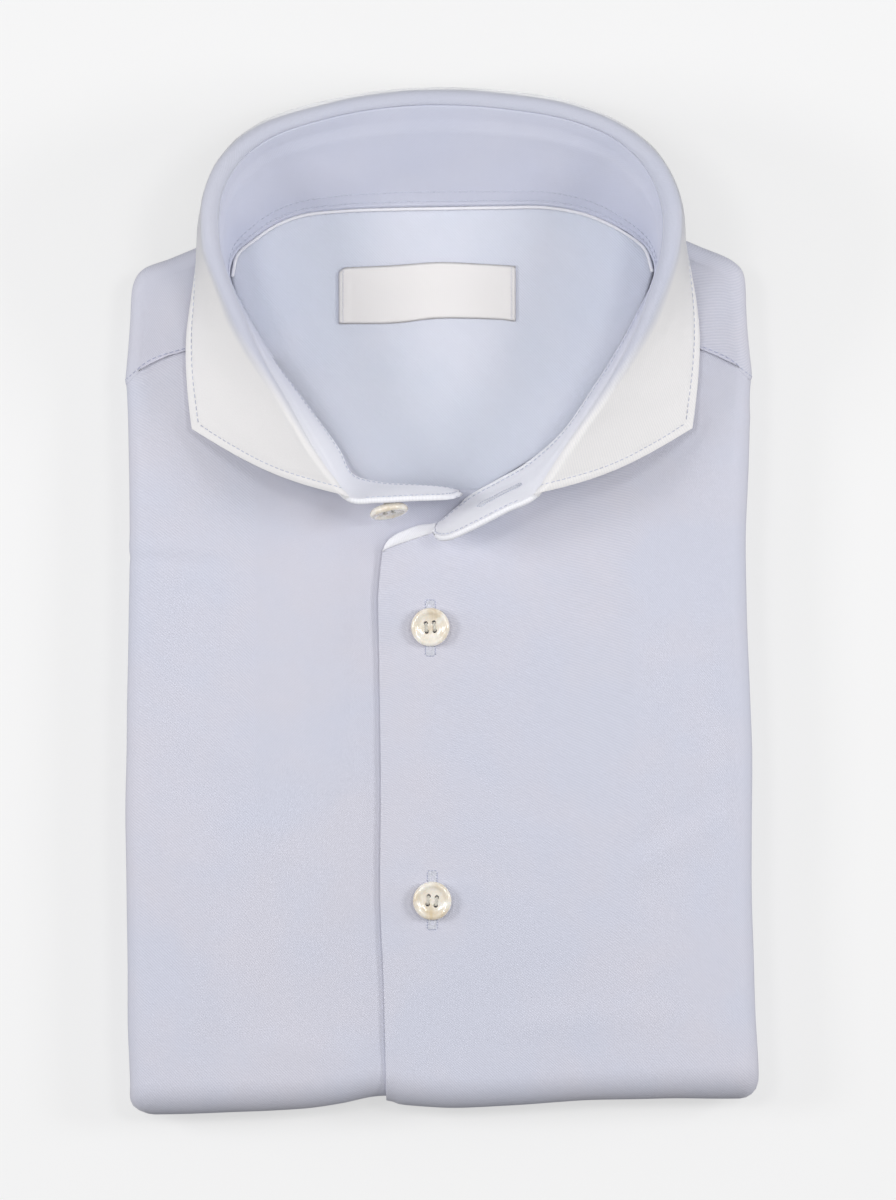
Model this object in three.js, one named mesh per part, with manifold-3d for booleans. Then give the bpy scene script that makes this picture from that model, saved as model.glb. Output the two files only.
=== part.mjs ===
// A long sleeve dress shirt, folded flat for the shelf, with a cutaway collar standing on top.
// Millimetres, +Z up, +Y towards the collar, underside flat on Z = 0.
// Each cut-and-sewn piece is a closed wall. The layers hidden inside share one rounded core.
import * as THREE from 'three';
import { mergeVertices } from 'three/addons/utils/BufferGeometryUtils.js';
import Module from 'manifold-3d';

const wasm = await Module();
wasm.setup();

// Driving sizes of the folded pack
const CENTRE_SHIFT_X = 0.0;      // moves the finished box on to the origin
const CENTRE_SHIFT_Y = 0.27;
const PACK_HEIGHT = 22;          // two legs of the fold, one on the other
const SLIT = 0.8;                // free space between the two legs
const LEG = (PACK_HEIGHT - SLIT) / 2;
const MID = PACK_HEIGHT / 2;
const ROLL = LEG / 2;            // radius of the side folds
const CLOTH = 1.2;               // wall of a body panel
const SEAM_GAP = 0.3;
const UNDERLAP_DEPTH = 1.5;      // the left front lies this far under the right front
const LOW_LEG_INSET = 2;         // the lower leg is this much narrower each side
const HEM_Y = 90;                // where the folded-up tail ends under the shoulders
const SEWN_FREE = 0.1;           // extra air over a seam's gap, so that sewn parts stay apart

// Sizes of the collar
const STAND_WALL = 1.8;
const FALL_WALL = 1.6;
const FALL_ROLL = 3;             // radius of the collar's top roll
const PIPING = 1.1;
const LABEL_WALL = 1.0;
const BUTTON = { radius: 6, thick: 2.8, dish: 4.1, dishDepth: 0.7, hole: 0.85, holeRing: 1.55 };
const BUTTON_EDGE = [[1.3, 0], [0.3, 0.8], [0, 1.5]];   // under the rim: in from the radius, up
const BUTTON_ROUND = 0.4;        // rounding of the rim's shoulder
const BUTTON_LIP = 1.1;          // width of the rim's top
const BUTTON_SIDES = 20;
const THREAD_SHANK = 1.0;        // radius of the wound thread behind the collar button
const TABLE_REACH = 120;         // past any edge of the shirt, for the blocks that cut it
const INSIDE_CLEAR = 0.6;        // the core's plates are this much smaller than the openings
const FALL_BELLY = 0.8;          // how far the leaf bulges between its roll and its edge
const FALL_BOW = 3;              // how far the leaf's front edges bow towards the fronts
const STAND_TOP_GAP = 0.6;       // more than a seam's gap, under the roll of the leaf

// Outline of the pack seen from above: one row per height up the shirt
const EDGES = [
  { y: -161, left: -94.5, right: 96.5 },
  { y: -158, left: -96.9, right: 98.2 },
  { y: -150, left: -97.0, right: 98.6 },
  { y: -129, left: -97.8, right: 97.8 },
  { y: -88, left: -98.1, right: 97.1 },
  { y: -45, left: -98.3, right: 96.7 },
  { y: -2, left: -97.4, right: 95.2 },
  { y: 22, left: -97.4, right: 94.8 },
  { y: 50, left: -97.7, right: 95.9 },
  { y: 66, left: -98.1, right: 96.3 },
  { y: 74, left: -98.9, right: 97.0 },
  { y: 88, left: -97.4, right: 95.4 },
  { y: 101, left: -95.9, right: 94.4 },
  { y: 106, left: -94.0, right: 93.4 },
];

// Bottom fold and shoulder fold: one row per station across the shirt
const BOTTOM = [
  { x: -97, y: -160.8 }, { x: -66, y: -160.0 }, { x: -31, y: -157.9 }, { x: -18, y: -156.4 },
  { x: -12, y: -157.6 }, { x: 6, y: -158.6 }, { x: 35, y: -157.3 }, { x: 64, y: -156.0 },
  { x: 98, y: -155.2 },
];
const SHOULDER = [
  { x: -95, y: 102.5 }, { x: -76, y: 110.0 }, { x: -60, y: 119.0 }, { x: -40, y: 127.0 },
  { x: -20, y: 130.0 }, { x: 0, y: 130.6 }, { x: 20, y: 130.6 }, { x: 40, y: 128.0 },
  { x: 60, y: 120.5 }, { x: 76, y: 112.2 }, { x: 94, y: 105.3 },
];

// Front edges of the two fronts, from the bottom fold to the neck
const PLACKET_EDGE = [
  [-17.3, -175], [-17.3, -150], [-17.9, -120], [-19.0, -92], [-18.8, -58], [-19.3, -18],
  [-19.6, 0], [-19.0, 9], [-18.3, 15],
];
const PLACKET_TOP = [[-17.3, 18], [-15, 20.2], [-11, 22.2], [-6.5, 23.7], [-3.5, 24.0]];
const UNDERLAP_X = 12.6;

// Yoke seams, from the side fold to the neckline
const SEAM_LEFT = [[-110, 64], [-98.2, 67.2], [-91, 73.1], [-79.2, 77.5], [-58, 84], [-40, 88]];
const SEAM_RIGHT = [[40, 90], [59, 86.5], [80.1, 78.4], [89.3, 74.1], [96.1, 68.5], [110, 64]];

// Neckline: where the collar stand meets the body, one row per station
const NECK_LEFT = [
  [0, 122.9], [-14.7, 122.6], [-31, 121.9], [-42.3, 120.7], [-53.5, 116.4], [-61, 111],
  [-66.9, 104.5], [-64, 96], [-59.5, 87], [-52, 75], [-42, 61.5], [-31.5, 47], [-27, 39.5],
  [-19.6, 36.6], [-9.5, 36], [1, 35], [7, 34.4],
];
const NECK_RIGHT = [
  [0, 122.9], [24.4, 123.2], [36, 122.8], [49.6, 119.1], [58.5, 114.5], [64, 110],
  [67, 104.5], [64.2, 97], [59.5, 86.5], [54, 76.5], [47, 65.5], [38, 52.5], [26.6, 42.5],
  [17, 37], [9, 32.5], [2.5, 27], [-1.5, 23.8],
];

// Collar, one row per station from the button end round the back to the buttonhole end:
// n is the neckline, s the seam at the top of the stand with its height, e the leaf's edge.
const COLLAR = [
  { nx: -27.5, ny: 39.5, sx: -27.9, sy: 31.7, sz: 47.0, ex: -77.3, ey: 53.2, ez: 27.4 },
  { nx: -31.5, ny: 47.0, sx: -37.6, sy: 44.8, sz: 49.5, ex: -78.3, ey: 60.6, ez: 26.0 },
  { nx: -42.0, ny: 61.5, sx: -46.1, sy: 60.0, sz: 51.5, ex: -79.2, ey: 72.1, ez: 25.4 },
  { nx: -52.0, ny: 75.0, sx: -54.0, sy: 73.9, sz: 53.5, ex: -79.1, ey: 82.3, ez: 25.2 },
  { nx: -59.5, ny: 87.0, sx: -60.5, sy: 88.4, sz: 55.0, ex: -77.7, ey: 93.5, ez: 24.6 },
  { nx: -66.0, ny: 101.0, sx: -66.6, sy: 105.5, sz: 55.8, ex: -75.8, ey: 106.6, ez: 24.2 },
  { nx: -64.2, ny: 108.0, sx: -67.4, sy: 117.3, sz: 55.5, ex: -74.6, ey: 119.5, ez: 17.0 },
  { nx: -59.0, ny: 112.5, sx: -65.6, sy: 126.2, sz: 54.0, ex: -72.0, ey: 130.5, ez: 12.0 },
  { nx: -52.5, ny: 117.0, sx: -60.6, sy: 134.2, sz: 52.2, ex: -65.6, ey: 141.0, ez: 9.0 },
  { nx: -44.0, ny: 120.3, sx: -51.6, sy: 141.2, sz: 50.0, ex: -55.8, ey: 149.0, ez: 7.5 },
  { nx: -31.0, ny: 121.9, sx: -36.5, sy: 146.6, sz: 48.4, ex: -39.0, ey: 155.2, ez: 6.5 },
  { nx: -14.7, ny: 122.6, sx: -18.5, sy: 150.3, sz: 47.4, ex: -19.0, ey: 159.0, ez: 5.8 },
  { nx: 1.0, ny: 122.9, sx: 1.0, sy: 151.4, sz: 47.0, ex: 1.0, ey: 160.0, ez: 5.4 },
  { nx: 18.5, ny: 123.1, sx: 22.0, sy: 149.8, sz: 47.3, ex: 23.0, ey: 158.6, ez: 5.8 },
  { nx: 33.0, ny: 123.0, sx: 39.0, sy: 146.6, sz: 48.3, ex: 41.4, ey: 155.4, ez: 6.5 },
  { nx: 45.0, ny: 120.8, sx: 51.6, sy: 141.4, sz: 50.0, ex: 56.0, ey: 149.2, ez: 7.5 },
  { nx: 53.0, ny: 117.5, sx: 60.3, sy: 134.0, sz: 52.2, ex: 66.0, ey: 141.0, ez: 9.0 },
  { nx: 59.5, ny: 113.8, sx: 65.0, sy: 125.9, sz: 54.0, ex: 71.4, ey: 130.2, ez: 12.0 },
  { nx: 64.3, ny: 109.5, sx: 67.2, sy: 116.8, sz: 55.3, ex: 74.4, ey: 119.0, ez: 17.0 },
  { nx: 66.6, ny: 102.5, sx: 66.3, sy: 104.5, sz: 55.4, ex: 76.6, ey: 106.8, ez: 24.2 },
  { nx: 60.6, ny: 88.5, sx: 60.6, sy: 86.5, sz: 54.0, ex: 79.2, ey: 92.8, ez: 24.4 },
  { nx: 54.0, ny: 76.5, sx: 54.0, sy: 72.5, sz: 52.0, ex: 80.2, ey: 81.5, ez: 25.0 },
  { nx: 47.0, ny: 65.5, sx: 46.4, sy: 60.0, sz: 50.4, ex: 79.8, ey: 70.5, ez: 25.4 },
  { nx: 38.0, ny: 52.5, sx: 37.2, sy: 46.4, sz: 48.6, ex: 78.8, ey: 60.4, ez: 26.0 },
  { nx: 26.6, ny: 42.5, sx: 28.2, sy: 32.4, sz: 47.0, ex: 77.8, ey: 53.4, ez: 27.4 },
];

// Tabs of the stand beyond the leaf, one row per station from the tab's end
const TAB_LEFT = [
  { nx: 5.6, ny: 34.3, sx: 5.2, sy: 33.8, sz: 31.0 },
  { nx: 3.6, ny: 34.9, sx: 3.6, sy: 32.9, sz: 40.0 },
  { nx: 1.0, ny: 35.4, sx: 0.4, sy: 32.4, sz: 44.6 },
  { nx: -9.5, ny: 36.2, sx: -9.5, sy: 32.0, sz: 46.8 },
  { nx: -19.6, ny: 37.0, sx: -19.6, sy: 31.4, sz: 47.4 },
];
const TAB_RIGHT = [
  { nx: 17.0, ny: 37.0, sx: 20.0, sy: 28.4, sz: 47.0 },
  { nx: 9.0, ny: 32.5, sx: 9.0, sy: 22.8, sz: 46.4 },
  { nx: 3.4, ny: 28.0, sx: 1.4, sy: 19.7, sz: 43.6 },
  { nx: 0.2, ny: 25.2, sx: -2.0, sy: 20.5, sz: 38.0 },
  { nx: -1.2, ny: 24.1, sx: -1.9, sy: 22.4, sz: 31.0 },
];

// Label on the inner yoke, one row per corner
const LABEL = { left: -32.2, right: 23.4, top: 103.4, topRight: 104.8, bottom: 86.0, bottomRight: 87.2 };

// Buttons, with the direction that each face looks and how far their thread stands off the cloth
const BUTTONS = [
  { name: 'button_front_1', x: -3.4, y: -8.2, face: [0, 0, 1], spin: -0.5, shank: 0.2 },
  { name: 'button_front_2', x: -2.8, y: -93.1, face: [0, 0, 1], spin: -0.5, shank: 0.2 },
];
const COLLAR_BUTTON = { x: -16.4, y: 29.0, z: 37.4, face: [0.2, -0.95, 0.22], spin: 0.2, shank: 2.1 };

const COLOURS = {
  twill: { color: 0xd2d4e2, roughness: 0.85, metalness: 0 },
  inside: { color: 0xc4cade, roughness: 0.88, metalness: 0 },
  white: { color: 0xf0eff0, roughness: 0.8, metalness: 0 },
  label: { color: 0xeeebe8, roughness: 0.75, metalness: 0 },
  pearl: { color: 0xe6dfd2, roughness: 0.3, metalness: 0 },
};

// Reads a table between its rows, along one named column
function lookUp(rows, key, column, at) {
  let index = 1;
  while (index < rows.length - 1 && rows[index][key] < at) index += 1;
  const low = rows[index - 1];
  const high = rows[index];
  const part = THREE.MathUtils.clamp((at - low[key]) / (high[key] - low[key]), 0, 1);
  return low[column] + (high[column] - low[column]) * part;
}

function rise(value, low, high) {
  return THREE.MathUtils.smoothstep(value, low, high);
}

// How far the cloth under the placket is pressed down by the front that laps over it
function underlap(x) {
  return UNDERLAP_DEPTH * rise(x, -44, -21) * (1 - rise(x, 14, 40));
}

// The pile is thickest under the collar and thins towards the sides and the bottom fold
function swell(x, y) {
  const along = 0.2 * rise(y, -150, 20) - 0.17 * rise(y, 60, 125);
  const across = 1 - 0.75 * rise(Math.abs(x), 30, 96);
  return 1 + along * across;
}

function lift(point) {
  const low = MID + SLIT / 2;
  if (point.z > low) point.z = low + (point.z - low) * swell(point.x, point.y);
  return point;
}

function bodyTop(x, y, depth = 0) {
  return lift(new THREE.Vector3(x, y, PACK_HEIGHT - depth)).z;
}

// Turns rows of points into one closed body. Each row is a closed loop, and the two end
// loops are closed by strips between a loop's first half and its second.
function closeLoops(rows) {
  const size = rows[0].length;
  const positions = rows.flat().flatMap((point) => point.toArray());
  const faces = [];
  for (let j = 0; j < rows.length - 1; j += 1) {
    for (let i = 0; i < size; i += 1) {
      const next = (i + 1) % size;
      const [a, b] = [j * size + i, j * size + next];
      faces.push(a, b, b + size, a, b + size, a + size);
    }
  }
  for (const [start, turned] of [[0, true], [(rows.length - 1) * size, false]]) {
    for (let i = 0; i < size / 2 - 1; i += 1) {
      const [a, b] = [start + i, start + i + 1];
      const [d, c] = [start + size - 1 - i, start + size - 2 - i];
      if (turned) faces.push(a, c, b, a, d, c);
      else faces.push(a, b, c, a, c, d);
    }
  }
  return solidOf(positions, faces);
}

function solidOf(positions, faces) {
  const raw = new THREE.BufferGeometry();
  raw.setAttribute('position', new THREE.Float32BufferAttribute(positions, 3));
  raw.setIndex(faces);
  return solidFromGeometry(raw);
}

function solidFromGeometry(geometry) {
  const bare = new THREE.BufferGeometry();
  bare.setAttribute('position', geometry.getAttribute('position'));
  bare.setIndex(geometry.getIndex());
  const merged = mergeVertices(bare, 1e-4);
  const spots = merged.getAttribute('position').array;
  const kept = [];
  const index = merged.getIndex().array;
  for (let i = 0; i < index.length; i += 3) {
    const [a, b, c] = [index[i], index[i + 1], index[i + 2]];
    if (a !== b && b !== c && c !== a) kept.push(a, b, c);
  }
  let solid = new wasm.Manifold(new wasm.Mesh({
    numProp: 3, vertProperties: new Float32Array(spots), triVerts: new Uint32Array(kept),
  }));
  if (solid.volume() < 0) {
    for (let i = 0; i < kept.length; i += 3) [kept[i + 1], kept[i + 2]] = [kept[i + 2], kept[i + 1]];
    solid = new wasm.Manifold(new wasm.Mesh({
      numProp: 3, vertProperties: new Float32Array(spots), triVerts: new Uint32Array(kept),
    }));
  }
  return solid;
}

// A wall from a grid of outer points: the same points moved in along their normals
function wall(grid, thickness, start = 0) {
  const rows = grid.map((row, j) => {
    const outer = row.map((point, i) => offset(grid, j, i, start));
    const inner = row.map((point, i) => offset(grid, j, i, start + thickness));
    return [...outer, ...inner.reverse()];
  });
  return closeLoops(rows);
}

function offset(grid, j, i, depth) {
  const before = grid[Math.max(j - 1, 0)][i];
  const after = grid[Math.min(j + 1, grid.length - 1)][i];
  const left = grid[j][Math.max(i - 1, 0)];
  const right = grid[j][Math.min(i + 1, grid[j].length - 1)];
  const along = new THREE.Vector3().subVectors(after, before);
  const across = new THREE.Vector3().subVectors(right, left);
  const normal = along.cross(across).normalize();
  return grid[j][i].clone().addScaledVector(normal, -depth);
}

// An upright block over a plan outline, to cut with
function prism(outline, bottom, top) {
  const shape = new THREE.Shape(outline.map(([x, y]) => new THREE.Vector2(x, y)));
  const geometry = new THREE.ExtrudeGeometry(shape, { depth: top - bottom, bevelEnabled: false });
  geometry.translate(0, 0, bottom);
  geometry.deleteAttribute('normal');
  geometry.deleteAttribute('uv');
  return solidFromGeometry(mergeVertices(geometry, 1e-4));
}

function box(left, right, near, far, bottom, top) {
  return prism([[left, near], [right, near], [right, far], [left, far]], bottom, top);
}

// The folded pack's whole surface, taken in by a depth. Its section is a flat stadium. It runs
// from the shoulder fold down the top leg, round the bottom fold and back up the lower leg.
const ACROSS = 12;
const ROLL_STEPS = 7;

function packStations() {
  const stations = [];
  for (const turn of [78, 52, 26]) stations.push({ leg: 'top', part: 0, turn });
  for (const part of [0, 0.08, 0.2, 0.35, 0.5, 0.65, 0.82, 1]) {
    stations.push({ leg: 'top', part, turn: 0 });
  }
  for (const angle of [26, 52, 78, 102, 128, 154]) stations.push({ leg: 'fold', angle });
  for (const part of [1, 0.5, 0]) stations.push({ leg: 'low', part, turn: 0 });
  for (const turn of [26, 52, 78]) stations.push({ leg: 'low', part: 0, turn });
  return stations;
}

function packPoint(station, across, roll, depthAt) {
  const guess = THREE.MathUtils.lerp(-96, 96, across);
  const bottom = lookUp(BOTTOM, 'x', 'y', guess) + MID;
  const end = station.leg === 'low' ? HEM_Y - ROLL : lookUp(SHOULDER, 'x', 'y', guess) - ROLL;
  const share = station.leg === 'fold' ? 1 : station.part;
  const y = THREE.MathUtils.lerp(end, bottom, share);
  const inset = station.leg === 'low' ? LOW_LEG_INSET * (1 - rise(station.part, 0.7, 1)) : 0;
  const foldDip = station.leg === 'fold' ? Math.sin(THREE.MathUtils.degToRad(station.angle)) : 0;
  const edgeY = y - foldDip * MID;
  const left = lookUp(EDGES, 'y', 'left', edgeY) + inset + ROLL;
  const right = lookUp(EDGES, 'y', 'right', edgeY) - inset - ROLL;
  const flatX = THREE.MathUtils.lerp(left, right, across);
  const depth = depthAt(flatX);
  const reach = ROLL - depth;
  const turn = THREE.MathUtils.degToRad(station.turn ?? 0);
  const side = across < 0.5 ? -1 : 1;
  const x = flatX + side * reach * Math.sin(roll);
  const inward = ROLL - reach * Math.cos(roll) * Math.cos(turn);
  const beyond = reach * Math.sin(turn);
  if (station.leg === 'top') return lift(new THREE.Vector3(x, y + beyond, PACK_HEIGHT - inward));
  if (station.leg === 'low') return new THREE.Vector3(x, y + beyond, inward);
  const angle = THREE.MathUtils.degToRad(station.angle);
  const radius = MID - inward;
  return new THREE.Vector3(x, y - radius * Math.sin(angle), MID + radius * Math.cos(angle));
}

function pack(depthAt) {
  const rows = packStations().map((station) => {
    const outer = [];
    const inner = [];
    for (let i = 0; i <= ACROSS; i += 1) {
      outer.push(packPoint(station, i / ACROSS, 0, depthAt));
      inner.push(packPoint(station, i / ACROSS, Math.PI, depthAt));
    }
    const rightRoll = [];
    const leftRoll = [];
    for (let k = 1; k < ROLL_STEPS; k += 1) {
      const roll = (Math.PI * k) / ROLL_STEPS;
      rightRoll.push(packPoint(station, 1, roll, depthAt));
      leftRoll.push(packPoint(station, 0, roll, depthAt));
    }
    const half = (ROLL_STEPS - 1) / 2;
    const leftTop = leftRoll.slice(0, half).reverse();
    const leftLow = leftRoll.slice(half).reverse();
    return [...leftTop, ...outer, ...rightRoll, ...inner.reverse(), ...leftLow];
  });
  return closeLoops(rows);
}

function makeMesh(name, solid, look) {
  const result = solid.getMesh();
  const geometry = new THREE.BufferGeometry();
  geometry.setAttribute('position', new THREE.BufferAttribute(result.vertProperties, 3));
  geometry.setIndex(new THREE.BufferAttribute(result.triVerts, 1));
  geometry.computeVertexNormals();
  const mesh = new THREE.Mesh(geometry, new THREE.MeshStandardMaterial(look));
  mesh.name = name;
  return mesh;
}

// The two legs' facing sides are open inside the pile, apart from a tuck along each fold
const TUCK_UPPER = [
  [-84, -152.8], [83, -152.8], [83, 94], [60, 107], [40, 114], [0, 117], [-40, 113], [-60, 105],
  [-84, 91],
];
const OPEN_DEPTH = SLIT / 2 + UNDERLAP_DEPTH + CLOTH * 1.3 + 0.2;
const TUCK_LOWER = [[-84, -152.8], [83, -152.8], [83, 80], [-84, 80]];

function shrink(outline, by) {
  return outline.map(([x, y]) => [x - Math.sign(x) * by, y - Math.sign(y) * by]);
}

function shell(depthAt) {
  const outer = pack(depthAt);
  const inner = pack((x) => depthAt(x) + CLOTH);
  return outer.subtract(inner)
    .subtract(prism(TUCK_UPPER, MID - 0.01, MID + OPEN_DEPTH))
    .subtract(prism(TUCK_LOWER, MID - OPEN_DEPTH, MID + 0.01));
}

// Everything above the yoke seams, on the top leg only
function yokeZone(gap) {
  const seam = [...SEAM_LEFT, ...SEAM_RIGHT].map(([x, y]) => [x, y + gap]);
  return prism([...seam, [110, 170], [-110, 170]], MID, PACK_HEIGHT * 2);
}

function neckCut(path, closing) {
  return prism([...path, ...closing], MID, PACK_HEIGHT * 2);
}

const neckCutLeft = () => neckCut(NECK_LEFT, [[70, 34.4], [70, 122.9]]);
const neckCutRight = () => neckCut(NECK_RIGHT, [[-70, 23.8], [-70, 122.9]]);

function makeFrontLeft() {
  return shell(underlap)
    .subtract(yokeZone(-SEAM_GAP / 2))
    .subtract(neckCutLeft())
    .intersect(box(-TABLE_REACH, UNDERLAP_X, -180, 170, -5, 50));
}

function makeFrontRight() {
  const reach = [...PLACKET_EDGE, ...PLACKET_TOP, [-1.5, 23.8], [-1.5, 170], [TABLE_REACH, 170],
    [TABLE_REACH, -175]];
  const top = prism(reach, MID, PACK_HEIGHT * 2);
  const low = box(PLACKET_EDGE[0][0], TABLE_REACH, -175, 170, -5, MID);
  return shell(() => 0)
    .subtract(yokeZone(-SEAM_GAP / 2))
    .subtract(neckCutRight())
    .intersect(top.add(low));
}

function makeYoke() {
  return shell(() => 0)
    .intersect(yokeZone(SEAM_GAP / 2))
    .subtract(neckCut(NECK_LEFT, NECK_RIGHT.slice(1).reverse()));
}

// The yoke's inner face, seen through the neck: it climbs to the neckline at the back
function insideHeight(x, y) {
  const climb = 1.6 * rise(y, 98, 122);
  const side = 0.8 * rise(Math.abs(x), 30, 66);
  return 17.8 + climb + side;
}

function insideGrid(left, right, near, far, columns, rows, raise) {
  const grid = [];
  for (let j = 0; j <= rows; j += 1) {
    const row = [];
    for (let i = 0; i <= columns; i += 1) {
      const x = THREE.MathUtils.lerp(left, right, i / columns);
      const y = THREE.MathUtils.lerp(far, near, j / rows);
      row.push(new THREE.Vector3(x, y, insideHeight(x, y) + raise));
    }
    grid.push(row);
  }
  return grid;
}

function neckOutline(margin) {
  const around = [...NECK_LEFT.slice(1).reverse(), ...NECK_RIGHT.slice(1, 12)];
  const centre = new THREE.Vector2(0, 78);
  return around.map(([x, y]) => {
    const away = new THREE.Vector2(x, y).sub(centre);
    away.setLength(away.length() + margin * (1 - 0.85 * rise(y, 85, 105))).add(centre);
    return [away.x, away.y];
  });
}

function makeInsideYoke() {
  const grid = insideGrid(-76, 76, 12, 134, 14, 12, 0);
  return wall(grid, CLOTH).intersect(prism(neckOutline(3), 0, 60));
}

function makePocket() {
  const floor = insideGrid(-80, 80, 8, 138, 14, 12, -CLOTH - SEAM_GAP);
  const rows = floor.map((row) => {
    const top = row.map((point) => point.clone().setZ(60));
    return [...top, ...row.slice().reverse()];
  });
  return closeLoops(rows).intersect(prism(neckOutline(3 + SEAM_GAP), 0, 59));
}

// Back, sleeves, cuffs and tails, folded away inside the pile
function makeFoldedLayers() {
  const hidden = pack((x) => underlap(x) + CLOTH + SEAM_GAP);
  const upper = prism(shrink(TUCK_UPPER, INSIDE_CLEAR), MID - 0.05, MID + OPEN_DEPTH + 1);
  const lower = prism(shrink(TUCK_LOWER, INSIDE_CLEAR), MID - OPEN_DEPTH - 1, MID);
  return hidden.add(upper).add(lower).subtract(makePocket());
}

// Collar: smooth paths through the stations' points, sampled at even parts of each stretch
function collarPath(rows, keys, steps) {
  const knots = rows.map((row) => new THREE.Vector3(row[keys[0]], row[keys[1]], row[keys[2]] ?? 0));
  const curve = new THREE.CatmullRomCurve3(knots, false, 'centripetal');
  return curve.getPoints((rows.length - 1) * steps);
}

function fallSection(neck, seam, edge, bow) {
  const out = new THREE.Vector3(edge.x - seam.x, edge.y - seam.y, 0);
  const reach = out.length();
  out.normalize();
  const leanOut = (seam.x - neck.x) * out.x + (seam.y - neck.y) * out.y;
  const lean = Math.max(Math.atan2(leanOut, seam.z - neck.z), 0);
  const centre = new THREE.Vector2(FALL_ROLL * Math.cos(lean), -FALL_ROLL * Math.sin(lean));
  const toEdge = new THREE.Vector2(reach, edge.z - seam.z).sub(centre);
  const last = toEdge.angle() - 2 * Math.PI + Math.acos(FALL_ROLL / toEdge.length());
  const first = Math.PI - lean;
  const points = [];
  for (let k = 0; k <= 5; k += 1) {
    const angle = THREE.MathUtils.lerp(first, last, k / 5);
    points.push([centre.x + FALL_ROLL * Math.cos(angle), centre.y + FALL_ROLL * Math.sin(angle)]);
  }
  const [fromOut, fromUp] = points[points.length - 1];
  for (let k = 1; k <= 4; k += 1) {
    const part = k / 4;
    const belly = FALL_BELLY * Math.sin(Math.PI * part);
    points.push([
      THREE.MathUtils.lerp(fromOut, reach, part) + belly,
      THREE.MathUtils.lerp(fromUp, edge.z - seam.z, part) + belly * 0.5,
    ]);
  }
  return points.map(([along, up]) => {
    const place = seam.clone().addScaledVector(out, along);
    place.z += up;
    place.y -= bow * Math.sin((Math.PI * along) / reach);
    return place;
  });
}

function fallGrid(steps) {
  const neck = neckPath(COLLAR, steps);
  const seam = collarPath(COLLAR, ['sx', 'sy', 'sz'], steps);
  const edge = collarPath(COLLAR, ['ex', 'ey', 'ez'], steps);
  return seam.map((place, k) => {
    const fromEnd = Math.min(k, seam.length - 1 - k) / steps;
    return fallSection(neck[k], place, edge[k], FALL_BOW * (1 - rise(fromEnd, 0, 3)));
  });
}

// The stand's foot clears the cloth below it, and more where the stand leans out
function neckPath(rows, steps) {
  const top = collarPath(rows, ['sx', 'sy', 'sz'], steps);
  const half = rows.length * steps / 2;
  return collarPath(rows, ['nx', 'ny'], steps).map((point, k) => {
    const depth = point.y < 60 && k < half ? underlap(point.x) : 0;
    const under = bodyTop(point.x, point.y, depth);
    const out = Math.hypot(top[k].x - point.x, top[k].y - point.y);
    const lean = Math.sin(Math.atan2(out, top[k].z - under));
    return point.setZ(under + SEAM_GAP + SEWN_FREE + STAND_WALL * lean);
  });
}

function standGrid(steps) {
  const rows = [...TAB_LEFT, ...COLLAR, ...TAB_RIGHT];
  const neck = neckPath(rows, steps);
  const top = collarPath(rows, ['sx', 'sy', 'sz'], steps);
  return neck.map((low, k) => {
    const high = top[k];
    const short = high.clone().sub(low).setLength(SEAM_GAP + STAND_TOP_GAP);
    const end = high.clone().sub(short);
    return [0, 0.25, 0.5, 0.75, 1].map((part) => low.clone().lerp(end, part));
  });
}

function makeStand() {
  return wall(standGrid(2), STAND_WALL);
}

function makeFall() {
  return wall(fallGrid(2), FALL_WALL);
}

// White cord sewn in between the stand and the inner yoke, round the back of the neck
function makePiping() {
  const rows = COLLAR.slice(5, 20);
  const line = collarPath(rows, ['nx', 'ny'], 2).map((point) => {
    const inward = new THREE.Vector3(-point.x, 80 - point.y, 0).setLength(0.75 + PIPING / 2);
    point.add(inward);
    return point.setZ(insideHeight(point.x, point.y) + SEAM_GAP + PIPING / 2 + 0.25);
  });
  const across = line.map((point, k) => {
    const before = line[Math.max(k - 1, 0)];
    const after = line[Math.min(k + 1, line.length - 1)];
    return new THREE.Vector3(after.y - before.y, before.x - after.x, 0).normalize();
  });
  const sides = 6;
  const rings = line.map((point, k) => {
    const ring = [];
    for (let i = 0; i < sides; i += 1) {
      const angle = ((i + 0.5) * 2 * Math.PI) / sides;
      ring.push(point.clone()
        .addScaledVector(across[k], (PIPING / 2) * Math.cos(angle))
        .setZ(point.z + (PIPING / 2) * Math.sin(angle)));
    }
    return ring;
  });
  return closeLoops(rings);
}

function makeLabel() {
  const grid = [];
  for (let j = 0; j <= 3; j += 1) {
    const row = [];
    for (let i = 0; i <= 8; i += 1) {
      const x = THREE.MathUtils.lerp(LABEL.left, LABEL.right, i / 8);
      const top = THREE.MathUtils.lerp(LABEL.top, LABEL.topRight, i / 8);
      const bottom = THREE.MathUtils.lerp(LABEL.bottom, LABEL.bottomRight, i / 8);
      const y = THREE.MathUtils.lerp(top, bottom, j / 3);
      row.push(new THREE.Vector3(x, y, insideHeight(x, y) + SEAM_GAP + SEWN_FREE + LABEL_WALL));
    }
    grid.push(row);
  }
  return wall(grid, LABEL_WALL);
}

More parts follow.
